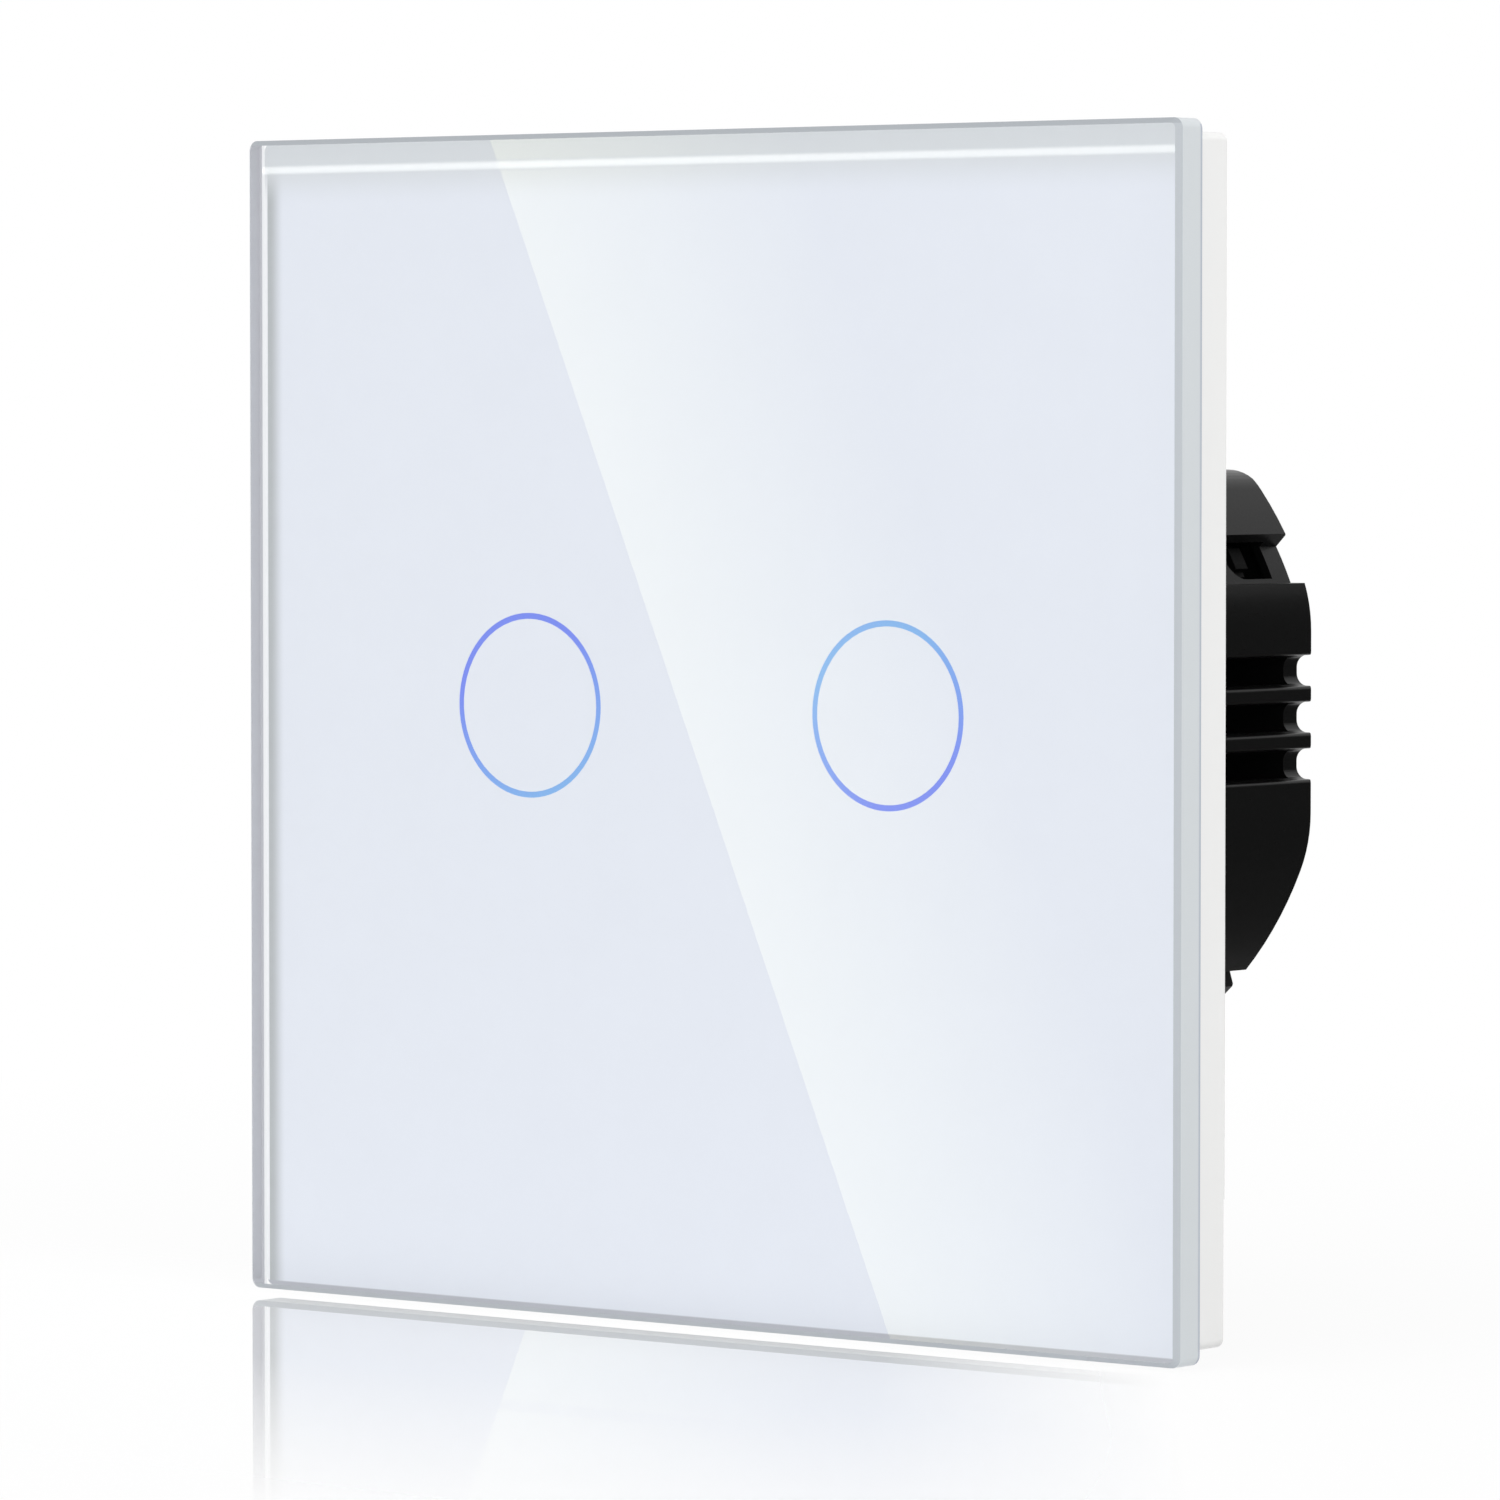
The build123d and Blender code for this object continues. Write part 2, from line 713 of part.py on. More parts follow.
# Power board, cut back round the pillars
with BuildPart() as power_board:
    with BuildSketch(at_depth(power_back)):
        Circle(power_board_radius)
        with Locations(*screw_places):
            Circle(pillar_radius + sliding_gap, mode=Mode.SUBTRACT)
    extrude(amount=power_board_thickness)
finish(power_board, "power_board")

# Terminal block with a chamber, a screw well and a wire inlet for each terminal
with BuildPart() as terminal_block:
    block_middle = (block_low + block_high) / 2
    with BuildSketch(at_depth(block_back)):
        with Locations((0, block_middle)):
            Rectangle(block_width, block_high - block_low)
    extrude(amount=block_back - power_back)
    chamber_reach = block_high - chamber_low
    with BuildSketch(at_depth(shelf_front)):
        with Locations(*[(place[0], chamber_low + chamber_reach / 2) for place in terminal_places]):
            Rectangle(chamber_width, chamber_reach)
    extrude(amount=shelf_front - chamber_front, mode=Mode.SUBTRACT)
    with BuildSketch(at_depth(block_back)):
        with Locations(*terminal_places):
            Circle(well_radius)
    extrude(amount=block_back - shelf_back, mode=Mode.SUBTRACT)
    with BuildSketch(at_depth(shelf_back)):
        with Locations(*terminal_places):
            Circle(screw_radius + thread_gap)
    extrude(amount=shelf_thickness, mode=Mode.SUBTRACT)
    with BuildSketch(Plane.XY.offset(block_low)):
        with Locations(*[(place[0], wire_middle) for place in terminal_places]):
            Circle(wire_inlet_radius)
    extrude(amount=block_wall, mode=Mode.SUBTRACT)
finish(terminal_block, "terminal_block")

# Busbars: a tongue through each cage and a leg down to the power board
with BuildPart() as terminal_busbars:
    with BuildSketch(at_depth(tongue_back)):
        with Locations(*[(place[0], (tongue_low + leg_high) / 2) for place in terminal_places]):
            Rectangle(tongue_width, leg_high - tongue_low)
    extrude(amount=tongue_thickness)
    with BuildSketch(at_depth(tongue_front)):
        with Locations(*[(place[0], (leg_low + leg_high) / 2) for place in terminal_places]):
            Rectangle(tongue_width, leg_high - leg_low)
    extrude(amount=tongue_front - power_back)
finish(terminal_busbars, "terminal_busbars")

for (across, up), name in zip(terminal_places, terminals):
    with BuildPart() as wire_clamp:
        with BuildSketch(at_depth(cage_back)):
            with Locations((across, up)):
                Rectangle(cage_width, cage_length)
        extrude(amount=cage_back - cage_front)
        with BuildSketch(at_depth(cage_rear_inside)):
            with Locations((across, up)):
                Rectangle(cage_width - 2 * cage_side, cage_length)
        extrude(amount=cage_rear_inside - cage_front - cage_end, mode=Mode.SUBTRACT)
        with BuildSketch(at_depth(cage_back)):
            with Locations((across, up)):
                Circle(screw_radius + thread_gap)
        extrude(amount=cage_end, mode=Mode.SUBTRACT)
    finish(wire_clamp, f"{name}_clamp")

    with BuildPart() as terminal_screw:
        with BuildSketch(at_depth(head_back)):
            with Locations((across, up)):
                Circle(screw_head_radius)
        extrude(amount=screw_head_height)
        with BuildSketch(at_depth(shelf_back)):
            with Locations((across, up)):
                Circle(screw_radius)
        extrude(amount=shelf_back - tongue_back)
        with BuildSketch(at_depth(head_back)):
            with Locations((across, up)):
                Rectangle(2 * screw_head_radius, screw_slot_width)
                Rectangle(screw_slot_width, 2 * screw_radius)
        extrude(amount=screw_slot_depth, mode=Mode.SUBTRACT)
    finish(terminal_screw, f"{name}_screw")


# Relays: each key's relay has its case, base, coil, iron, armature and contacts
def along(distance):
    """Height of a point this far along a relay, measured from its lower end."""
    return relay_bottom + distance


def above(height):
    """Depth of a point this high over the power board's rear face."""
    return power_back + height


def relay_slab(side, near, far, low, high, width, mode=Mode.ADD):
    """Block of a relay between two places along it and two heights over the board."""
    with BuildSketch(at_depth(above(high)), mode=Mode.PRIVATE) as footprint:
        with Locations((side * relay_spread, (along(near) + along(far)) / 2)):
            Rectangle(width, far - near)
    extrude(footprint.sketch, amount=high - low, mode=mode)


iron_low = relay_base
iron_top = iron_low + iron_thickness
coil_low = iron_top + relay_play
blade_low = relay_height - relay_wall - blade_room - blade_thickness
hinge_height = blade_low - armature_thickness
pole_top = hinge_height - armature_gap
coil_top = pole_top - pole_height - relay_play
bobbin_place = leg_place + iron_thickness + bobbin_gap + bobbin_radius
armature_end = bobbin_place + pole_radius + armature_past_pole
blade_end = relay_length - relay_wall - blade_end_gap
contact_place = blade_end - contact_setback
post_top = blade_low - contact_height - contact_gap - contact_height

for side, side_name in sides:
    middle = side * relay_spread
    with BuildPart() as relay_base_plate:
        inside = relay_wall + relay_play
        relay_slab(side, inside, relay_length - inside, 0, relay_base, relay_width - 2 * inside)
    finish(relay_base_plate, f"{side_name}_relay_base")

    with BuildPart() as relay_case:
        relay_slab(side, 0, relay_length, 0, relay_height, relay_width)
        inner_end = relay_length - relay_wall
        inner_top = relay_height - relay_wall
        inner_width = relay_width - 2 * relay_wall
        relay_slab(side, relay_wall, inner_end, 0, inner_top, inner_width, mode=Mode.SUBTRACT)
    finish(relay_case, f"{side_name}_relay_case")

    with BuildPart() as relay_iron:
        bobbin_end = bobbin_place + bobbin_radius
        relay_slab(side, leg_place, bobbin_end, iron_low, iron_top, armature_width)
        leg_end = leg_place + iron_thickness
        relay_slab(side, leg_place, leg_end, iron_low, hinge_height - relay_play, armature_width)
        with BuildSketch(at_depth(above(pole_top))):
            with Locations((middle, along(bobbin_place))):
                Circle(core_radius)
        extrude(amount=pole_top - iron_top)
        with BuildSketch(at_depth(above(pole_top))):
            with Locations((middle, along(bobbin_place))):
                Circle(pole_radius)
        extrude(amount=pole_height)
    finish(relay_iron, f"{side_name}_relay_iron")

    with BuildPart() as relay_coil:
        with BuildSketch(at_depth(above(coil_top))):
            with Locations((middle, along(bobbin_place))):
                Circle(bobbin_radius)
                Circle(core_radius + relay_play, mode=Mode.SUBTRACT)
        extrude(amount=coil_top - coil_low)
        with BuildSketch(at_depth(above(coil_top - bobbin_flange))):
            with Locations((middle, along(bobbin_place))):
                Circle(bobbin_radius + overrun)
                Circle(bobbin_radius - bobbin_lip / 2, mode=Mode.SUBTRACT)
        extrude(amount=coil_top - coil_low - 2 * bobbin_flange, mode=Mode.SUBTRACT)
    finish(relay_coil, f"{side_name}_relay_coil")

    with BuildPart() as relay_armature:
        relay_slab(side, leg_place, armature_end, hinge_height, blade_low, armature_width)
    finish(relay_armature, f"{side_name}_relay_armature")

    with BuildPart() as contact_blade:
        blade_high = blade_low + blade_thickness
        blade_near = bobbin_place
        relay_slab(side, blade_near, blade_end, blade_low, blade_high, blade_width)
        with BuildSketch(at_depth(above(blade_low))):
            with Locations((middle, along(contact_place))):
                Circle(contact_radius)
        extrude(amount=contact_height)
    finish(contact_blade, f"{side_name}_contact_blade")

    with BuildPart() as fixed_contact:
        post_near = contact_place - contact_radius
        post_far = contact_place + contact_radius
        relay_slab(side, post_near, post_far, relay_base, post_top, contact_post_width)
        with BuildSketch(at_depth(above(post_top + contact_height))):
            with Locations((middle, along(contact_place))):
                Circle(contact_radius)
        extrude(amount=contact_height)
    finish(fixed_contact, f"{side_name}_fixed_contact")

# Supply parts on the power board
with BuildPart() as film_capacitor:
    with BuildSketch(at_depth(above(film_cap_height))):
        with Locations((0, film_cap_rise)):
            RectangleRounded(film_cap_width, film_cap_thickness, film_cap_round)
    extrude(amount=film_cap_height)
finish(film_capacitor, "film_capacitor")

with BuildPart() as smoothing_capacitors:
    with BuildSketch(at_depth(above(can_height))):
        with Locations((0, can_rise)):
            with GridLocations(2 * can_spread, 0, 2, 1):
                Circle(can_radius)
    extrude(amount=can_height)
    fillet(smoothing_capacitors.faces().filter_by(Axis.Y).group_by(Axis.Y)[-1].edges(), radius=can_round)
finish(smoothing_capacitors, "smoothing_capacitors")

with BuildPart() as supply_choke:
    for low, high, radius in (
        (0, choke_flange, choke_radius),
        (choke_flange, choke_height - choke_flange, choke_winding_radius),
        (choke_height - choke_flange, choke_height, choke_radius),
    ):
        with BuildSketch(at_depth(above(high))):
            with Locations((0, choke_rise)):
                Circle(radius)
        extrude(amount=high - low)
finish(supply_choke, "supply_choke")


def lying_part(radius, length, start, height, up):
    """Round body lying across the board along X, centred this high over it."""
    with BuildSketch(Plane.YZ.offset(start), mode=Mode.PRIVATE) as end:
        with Locations((above(height), up)):
            Circle(radius)
    extrude(end.sketch, amount=length)


with BuildPart() as supply_fuse:
    fuse_height = fuse_cap_radius + fuse_lift
    fuse_half = fuse_length / 2
    lying_part(fuse_radius, fuse_length, -fuse_half, fuse_height, fuse_rise)
    lying_part(fuse_cap_radius, fuse_cap_length, -fuse_half, fuse_height, fuse_rise)
    lying_part(fuse_cap_radius, fuse_cap_length, fuse_half - fuse_cap_length, fuse_height, fuse_rise)
finish(supply_fuse, "supply_fuse")

with BuildPart() as surge_varistor:
    disc_start = side_part_spread - varistor_thickness / 2
    disc_height = varistor_radius + small_part_height
    lying_part(varistor_radius, varistor_thickness, disc_start, disc_height, side_part_rise)
    fillet(surge_varistor.edges(), radius=varistor_round)
    with BuildSketch(at_depth(above(disc_height))):
        with Locations((side_part_spread, side_part_rise)):
            with GridLocations(0, varistor_radius, 1, 2):
                Circle(lead_radius)
    extrude(amount=disc_height)
finish(surge_varistor, "surge_varistor")

with BuildPart() as dropper_resistor:
    with BuildSketch(Plane.XY.offset(side_part_rise - resistor_length / 2)):
        with Locations((-side_part_spread, above(resistor_radius + small_part_height))):
            Circle(resistor_radius)
    extrude(amount=resistor_length)
    fillet(dropper_resistor.edges().filter_by(GeomType.CIRCLE), radius=resistor_round)
    with BuildSketch(at_depth(above(resistor_radius + small_part_height))):
        with Locations((-side_part_spread, side_part_rise)):
            with GridLocations(0, resistor_length - 2 * resistor_radius, 1, 2):
                Circle(lead_radius)
    extrude(amount=resistor_radius + small_part_height)
finish(dropper_resistor, "dropper_resistor")

with BuildPart() as driver_chips:
    with BuildSketch(at_depth(power_front)):
        with GridLocations(0, 2 * front_chip_rise, 1, 2):
            Rectangle(front_chip_length, front_chip_width)
    extrude(amount=front_chip_height)
finish(driver_chips, "driver_chips")
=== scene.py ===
# %% [markdown]
# # Touch light switch
# A square glass panel with two glowing touch rings covers a wall box. Behind the
# glass sit a white frame and a black round module that holds the electronics.
# The construction comes ready made from a CAD model. This lesson gives it its looks:
# the glass, the finishes, the light and the small details that a maker would see.

# %% Set-up
import json
import math

import bmesh
import bpy
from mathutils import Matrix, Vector

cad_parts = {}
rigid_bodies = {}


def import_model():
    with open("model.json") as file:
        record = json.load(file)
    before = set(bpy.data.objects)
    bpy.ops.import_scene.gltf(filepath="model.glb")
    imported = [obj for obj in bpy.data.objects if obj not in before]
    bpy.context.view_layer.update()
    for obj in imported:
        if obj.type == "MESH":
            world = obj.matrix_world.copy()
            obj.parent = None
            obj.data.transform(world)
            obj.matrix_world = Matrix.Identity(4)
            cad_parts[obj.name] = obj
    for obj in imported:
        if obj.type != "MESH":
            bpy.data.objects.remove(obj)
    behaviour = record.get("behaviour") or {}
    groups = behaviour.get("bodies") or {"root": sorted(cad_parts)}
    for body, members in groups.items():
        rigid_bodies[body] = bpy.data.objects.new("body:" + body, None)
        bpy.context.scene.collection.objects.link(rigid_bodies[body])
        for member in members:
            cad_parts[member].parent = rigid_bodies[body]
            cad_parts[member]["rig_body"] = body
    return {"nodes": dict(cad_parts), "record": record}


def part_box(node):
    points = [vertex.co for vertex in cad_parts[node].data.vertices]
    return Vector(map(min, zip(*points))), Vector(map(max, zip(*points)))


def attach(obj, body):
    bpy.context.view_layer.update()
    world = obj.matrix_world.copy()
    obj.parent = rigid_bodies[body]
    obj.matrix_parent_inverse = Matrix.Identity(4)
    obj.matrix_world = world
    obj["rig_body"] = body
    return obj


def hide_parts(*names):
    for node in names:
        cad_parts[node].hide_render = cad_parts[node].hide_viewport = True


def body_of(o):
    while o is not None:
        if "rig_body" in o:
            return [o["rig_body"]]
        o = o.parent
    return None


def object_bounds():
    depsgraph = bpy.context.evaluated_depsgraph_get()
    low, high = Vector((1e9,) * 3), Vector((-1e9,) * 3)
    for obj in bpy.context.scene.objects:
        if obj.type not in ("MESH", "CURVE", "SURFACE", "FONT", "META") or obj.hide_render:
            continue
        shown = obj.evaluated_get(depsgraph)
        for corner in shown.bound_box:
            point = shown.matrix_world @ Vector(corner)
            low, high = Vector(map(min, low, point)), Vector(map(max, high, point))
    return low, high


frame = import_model()
cad_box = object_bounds()
nodes = frame["nodes"]
pieces = frame["record"]["subparts"]
print(len(nodes), "nodes in the frame")

# %% [markdown]
# ## Units and colours
# Everything is in metres, so a size in millimetres is multiplied by mm. Colours are
# written as a painter would note them, as sRGB hex values, and one function turns
# them into the linear values that the shaders need.

# %% Units and colours
mm = 0.001


def colour(code):
    """Turn a hex colour such as E4E8F1 into linear red, green, blue and alpha."""
    channels = [int(code[i:i + 2], 16) / 255 for i in (0, 2, 4)]
    linear = [c / 12.92 if c <= 0.04045 else ((c + 0.055) / 1.055) ** 2.4 for c in channels]
    return (*linear, 1.0)


white = colour("FFFFFF")
print("the grey 808080 is", round(colour("808080")[0], 3), "in linear light")

# %% [markdown]
# ## One helper for shader nodes
# A material is a small network of nodes. It could be drawn by hand in the editor, but
# written down it can be read and changed as text. The helper adds one node, sets what
# it is told and plugs in the links, so that each finish below reads as a short recipe.

# %% Shader helpers
def add_node(tree, kind, inputs=None, **settings):
    """Add a node. Each input is given a plain value or another node's output."""
    node = tree.nodes.new(kind)
    for name, value in settings.items():
        setattr(node, name, value)
    for socket, value in (inputs or {}).items():
        if isinstance(value, bpy.types.NodeSocket):
            tree.links.new(value, node.inputs[socket])
        else:
            node.inputs[socket].default_value = value
    return node


def new_material(name):
    """Start an empty material and return it with its tree."""
    material = bpy.data.materials.new(name)
    material.use_nodes = True
    tree = material.node_tree
    tree.nodes.clear()
    return material, tree


def covered(material, shader):
    """Make this shader the material's surface and hand the material back."""
    add_node(material.node_tree, "ShaderNodeOutputMaterial", {"Surface": shader})
    return material


# %% [markdown]
# ## Moulded plastics
# The frame, the housing and most small parts are injection moulded. Their tool was
# spark eroded, which leaves a fine even grain of about 0.2 mm. A picture of such a
# grain would need a map on every piece. Noise in real millimetres needs none, so it
# drives both the bump and the gloss, and the grain breaks up the highlight.

# %% Moulded plastics
plastic_ior = 1.49
grain_detail = 3.0
grain_strength = 0.35
gloss_spread = 0.06


def moulded(name, code, roughness, grain, depth, gloss_level=0.5):
    """Plastic or lacquer with an even grain of this size and depth in metres."""
    material, tree = new_material(name)
    place = add_node(tree, "ShaderNodeTexCoord").outputs["Object"]
    noise = add_node(tree, "ShaderNodeTexNoise", {
        "Vector": place, "Scale": 1 / grain, "Detail": grain_detail,
    })
    gloss = add_node(tree, "ShaderNodeMapRange", {
        "Value": noise.outputs["Fac"],
        "To Min": roughness - gloss_spread,
        "To Max": roughness + gloss_spread,
    })
    bump = add_node(tree, "ShaderNodeBump", {
        "Height": noise.outputs["Fac"], "Strength": grain_strength, "Distance": depth,
    })
    shader = add_node(tree, "ShaderNodeBsdfPrincipled", {
        "Base Color": colour(code),
        "Roughness": gloss.outputs["Result"],
        "IOR": plastic_ior,
        "Specular IOR Level": gloss_level,
        "Normal": bump.outputs["Normal"],
    })
    return covered(material, shader.outputs["BSDF"])


finishes = {
    # Frame: clean white with a soft, broad highlight
    "white_plastic": moulded("white_abs", "F1F1F0", 0.34, 0.25 * mm, 0.01 * mm),
    # Housing: near black, with a faint sheen on its flats
    "black_plastic": moulded(
        "black_pc_abs", "0E0E0E", 0.3, 0.2 * mm, 0.012 * mm, gloss_level=0.17,
    ),
    # Cover and its latch arms: dull, and darker than the housing as painted shade, so that they
    # stay dark behind the windows
    "matt_black": moulded(
        "cover_black_painted_shade", "060606", 0.6, 0.2 * mm, 0.012 * mm, gloss_level=0.1,
    ),
    # Terminal block: tough dark grey with little shine
    "grey_plastic": moulded("grey_polyamide", "3A3D40", 0.45, 0.2 * mm, 0.01 * mm),
    # Light guides: a milky surface that spreads the light
    "frosted_plastic": moulded("frosted_acrylic", "E6EAEF", 0.5, 0.12 * mm, 0.01 * mm),
    # Chips: sooty and dull, finer than the housing
    "chip_resin": moulded("black_epoxy", "17181A", 0.5, 0.08 * mm, 0.006 * mm),
    # Relay cases: smooth enough to mirror their neighbours a little
    "relay_plastic": moulded("relay_pbt", "1A1B1E", 0.22, 0.3 * mm, 0.004 * mm),
    # Film capacitor: glossy yellow box
    "capacitor_case": moulded("yellow_pbt", "D9B82E", 0.28, 0.2 * mm, 0.006 * mm),
    # Varistor: dipped, so its skin is glossy and slightly lumpy
    "varistor_epoxy": moulded("blue_dipped_epoxy", "1E4E9E", 0.25, 0.6 * mm, 0.03 * mm),
    # Choke core: pressed powder, dull and a little rough
    "ferrite": moulded("pressed_ferrite", "2A2828", 0.55, 0.15 * mm, 0.02 * mm),
    # Indicator lamps: yellowish phosphor under clear resin
    "lamp_resin": moulded("lamp_phosphor", "F2E7A8", 0.3, 0.1 * mm, 0.004 * mm),
    # Film between glass and frame: soft grey foam
    "bonding_film": moulded("acrylic_foam_tape", "C9CDD2", 0.6, 0.1 * mm, 0.01 * mm),
    # Sleeves of the smoothing capacitors: shrunk on, shiny
    "can_sleeve": moulded("shrink_sleeve", "1C1E24", 0.3, 0.3 * mm, 0.006 * mm),
    # Fuse body: unglazed, chalky
    "fuse_ceramic": moulded("fuse_ceramic", "D9D2C4", 0.4, 0.2 * mm, 0.006 * mm),
    # Dropper resistor: thick pale blue lacquer
    "resistor_coat": moulded("resistor_lacquer", "7FA3B5", 0.35, 0.2 * mm, 0.006 * mm),
}
print(len(finishes), "plastics and lacquers")

# %% [markdown]
# ## Metals
# The mounting plate is zinc-plated sheet, the screws are zinc plated, the busbars
# and clamps are tinned brass. A metal has no colour of its own under a gloss: its
# colour is the tint of its reflection. Rolling leaves streaks. Anisotropy would need
# a direction on every face, so the noise that drives the roughness is stretched
# along one axis instead.

# %% Metals
streak_stretch = 12.0
streak_detail = 4.0
metal_spread = 0.08


def plated(name, code, roughness, streak):
    """Plated sheet or turned metal, with rolling streaks this wide in metres."""
    material, tree = new_material(name)
    place = add_node(tree, "ShaderNodeTexCoord").outputs["Object"]
    along = add_node(tree, "ShaderNodeMapping", {
        "Vector": place, "Scale": (1.0, 1.0, streak_stretch),
    })
    noise = add_node(tree, "ShaderNodeTexNoise", {
        "Vector": along.outputs["Vector"],
        "Scale": 1 / (streak_stretch * streak),
        "Detail": streak_detail,
    })
    gloss = add_node(tree, "ShaderNodeMapRange", {
        "Value": noise.outputs["Fac"],
        "To Min": roughness - metal_spread,
        "To Max": roughness + metal_spread,
    })
    shader = add_node(tree, "ShaderNodeBsdfPrincipled", {
        "Base Color": colour(code), "Metallic": 1.0, "Roughness": gloss.outputs["Result"],
    })
    return covered(material, shader.outputs["BSDF"])


metals = {
    # Mounting plate: pale, satin and cool
    "zinc_steel": plated("zinc_plated_sheet", "C3C6CA", 0.5, 0.2 * mm),
    # Screws: the same plating, brighter on turned steel
    "zinc_screw": plated("zinc_plated_screw", "C2C4C6", 0.28, 0.1 * mm),
    # Busbars, clamps and contacts: warm metal under a thin white coat
    "tinned_brass": plated("tinned_brass", "C9C2AE", 0.3, 0.1 * mm),
    # Plug pins: thin gold, with a sharp highlight
    "gilt_brass": plated("gilt_brass", "D9B45C", 0.2, 0.1 * mm),
    # Relay irons and armatures: slightly darker than the zinc
    "soft_iron": plated("nickel_plated_iron", "A9AAAD", 0.3, 0.1 * mm),
}
finishes.update(metals)
print(len(metals), "metals")

# %% [markdown]
# ## Circuit boards
# Green lacquer covers the copper tracks of a circuit board, which show as paler,
# slightly raised lines. Real tracks could be modelled one by one, but a pattern
# gives as much to the eye: the cells of one texture decide which way the tracks run
# in each patch of the board, and the cells of a second one set the tinned spots.

# %% Circuit boards
track_pitch = 1.27 * mm
track_width = 0.35 * mm
track_height = 0.035 * mm
track_patch = 7 * mm
# Each patch has a random value from 0 to 1. In the middle range it stays bare.
upright_below, level_above = 0.4, 0.6
spot_spacing = 3.5 * mm
spot_reach = 0.09


def lines(tree, value, pitch, width):
    """1 on lines of this width that repeat at this pitch along a coordinate, otherwise 0."""
    folded = add_node(tree, "ShaderNodeMath", {0: value, 1: pitch / 2}, operation="PINGPONG")
    on_line = add_node(tree, "ShaderNodeMath", {
        0: folded.outputs["Value"], 1: width / 2,
    }, operation="LESS_THAN")
    return on_line.outputs["Value"]


def circuit_board():
    """Green solder mask over copper tracks, with tinned spots."""
    material, tree = new_material("green_solder_mask")
    place = add_node(tree, "ShaderNodeTexCoord").outputs["Object"]
    split = add_node(tree, "ShaderNodeSeparateXYZ", {"Vector": place})
    patches = add_node(tree, "ShaderNodeTexVoronoi", {"Vector": place, "Scale": 1 / track_patch})
    pick = add_node(tree, "ShaderNodeSeparateColor", {"Color": patches.outputs["Color"]})
    directions = []
    for axis, test, limit in (
        ("X", "LESS_THAN", upright_below),
        ("Z", "GREATER_THAN", level_above),
    ):
        chosen = add_node(tree, "ShaderNodeMath", {
            0: pick.outputs["Red"], 1: limit,
        }, operation=test)
        drawn = add_node(tree, "ShaderNodeMath", {
            0: chosen.outputs["Value"],
            1: lines(tree, split.outputs[axis], track_pitch, track_width),
        }, operation="MULTIPLY")
        directions.append(drawn.outputs["Value"])
    tracks = add_node(tree, "ShaderNodeMath", dict(enumerate(directions)), operation="MAXIMUM")
    spots = add_node(tree, "ShaderNodeTexVoronoi", {"Vector": place, "Scale": 1 / spot_spacing})
    on_spot = add_node(tree, "ShaderNodeMath", {
        0: spots.outputs["Distance"], 1: spot_reach,
    }, operation="LESS_THAN")
    lacquer = add_node(tree, "ShaderNodeMix", {
        "Factor": tracks.outputs["Value"], "A": colour("0E4527"), "B": colour("1F6B3D"),
    }, data_type="RGBA")
    tone = add_node(tree, "ShaderNodeMix", {
        "Factor": on_spot.outputs["Value"], "A": lacquer.outputs["Result"], "B": colour("B9B6A6"),
    }, data_type="RGBA")
    bump = add_node(tree, "ShaderNodeBump", {
        "Height": tracks.outputs["Value"], "Strength": 0.6, "Distance": track_height,
    })
    shader = add_node(tree, "ShaderNodeBsdfPrincipled", {
        "Base Color": tone.outputs["Result"],
        "Metallic": on_spot.outputs["Value"],
        "Roughness": 0.28,
        "IOR": 1.5,
        "Normal": bump.outputs["Normal"],
    })
    return covered(material, shader.outputs["BSDF"])


finishes["board_laminate"] = circuit_board()
print("tracks every", round(track_pitch / mm, 2), "mm")

# %% [markdown]
# ## Windings and foam
# The relay coils are wound from enamelled copper, and the touch pads are cut from
# soft foam full of pores. Both are too fine to model at this size, so the winding is
# a band of ridges as wide as its wire, and the foam a texture of small cells. The
# hollows are dark, because hardly any light reaches them.

# %% Windings and foam
hollow_strength = 0.8
coil_wire = 0.18 * mm
foam_pore = 0.35 * mm


def wound_wire(name, code, wire):
    """Enamelled wire of this diameter, wound round the Y axis."""
    material, tree = new_material(name)
    place = add_node(tree, "ShaderNodeTexCoord").outputs["Object"]
    split = add_node(tree, "ShaderNodeSeparateXYZ", {"Vector": place})
    turn = add_node(tree, "ShaderNodeMath", {
        0: split.outputs["Y"], 1: wire / 2,
    }, operation="PINGPONG")
    crest = add_node(tree, "ShaderNodeMapRange", {
        "Value": turn.outputs["Value"], "From Min": 0.0, "From Max": wire / 2,
    }, interpolation_type="SMOOTHSTEP")
    tone = add_node(tree, "ShaderNodeMix", {
        "Factor": crest.outputs["Result"], "A": colour("5A2812"), "B": colour(code),
    }, data_type="RGBA")
    bump = add_node(tree, "ShaderNodeBump", {
        "Height": crest.outputs["Result"], "Strength": hollow_strength, "Distance": wire / 2,
    })
    shader = add_node(tree, "ShaderNodeBsdfPrincipled", {
        "Base Color": tone.outputs["Result"],
        "Metallic": 0.9,
        "Roughness": 0.28,
        "Normal": bump.outputs["Normal"],
    })
    return covered(material, shader.outputs["BSDF"])


def open_foam(name, code, pore):
    """Soft foam with pores of this size."""
    material, tree = new_material(name)
    place = add_node(tree, "ShaderNodeTexCoord").outputs["Object"]
    cells = add_node(tree, "ShaderNodeTexVoronoi", {"Vector": place, "Scale": 1 / pore})
    tone = add_node(tree, "ShaderNodeMix", {
        "Factor": cells.outputs["Distance"], "A": colour("0C0C0D"), "B": colour(code),
    }, data_type="RGBA")
    bump = add_node(tree, "ShaderNodeBump", {
        "Height": cells.outputs["Distance"], "Strength": hollow_strength, "Distance": pore / 3,
    })
    shader = add_node(tree, "ShaderNodeBsdfPrincipled", {
        "Base Color": tone.outputs["Result"],
        "Roughness": 0.9,
        "Normal": bump.outputs["Normal"],
    })
    return covered(material, shader.outputs["BSDF"])


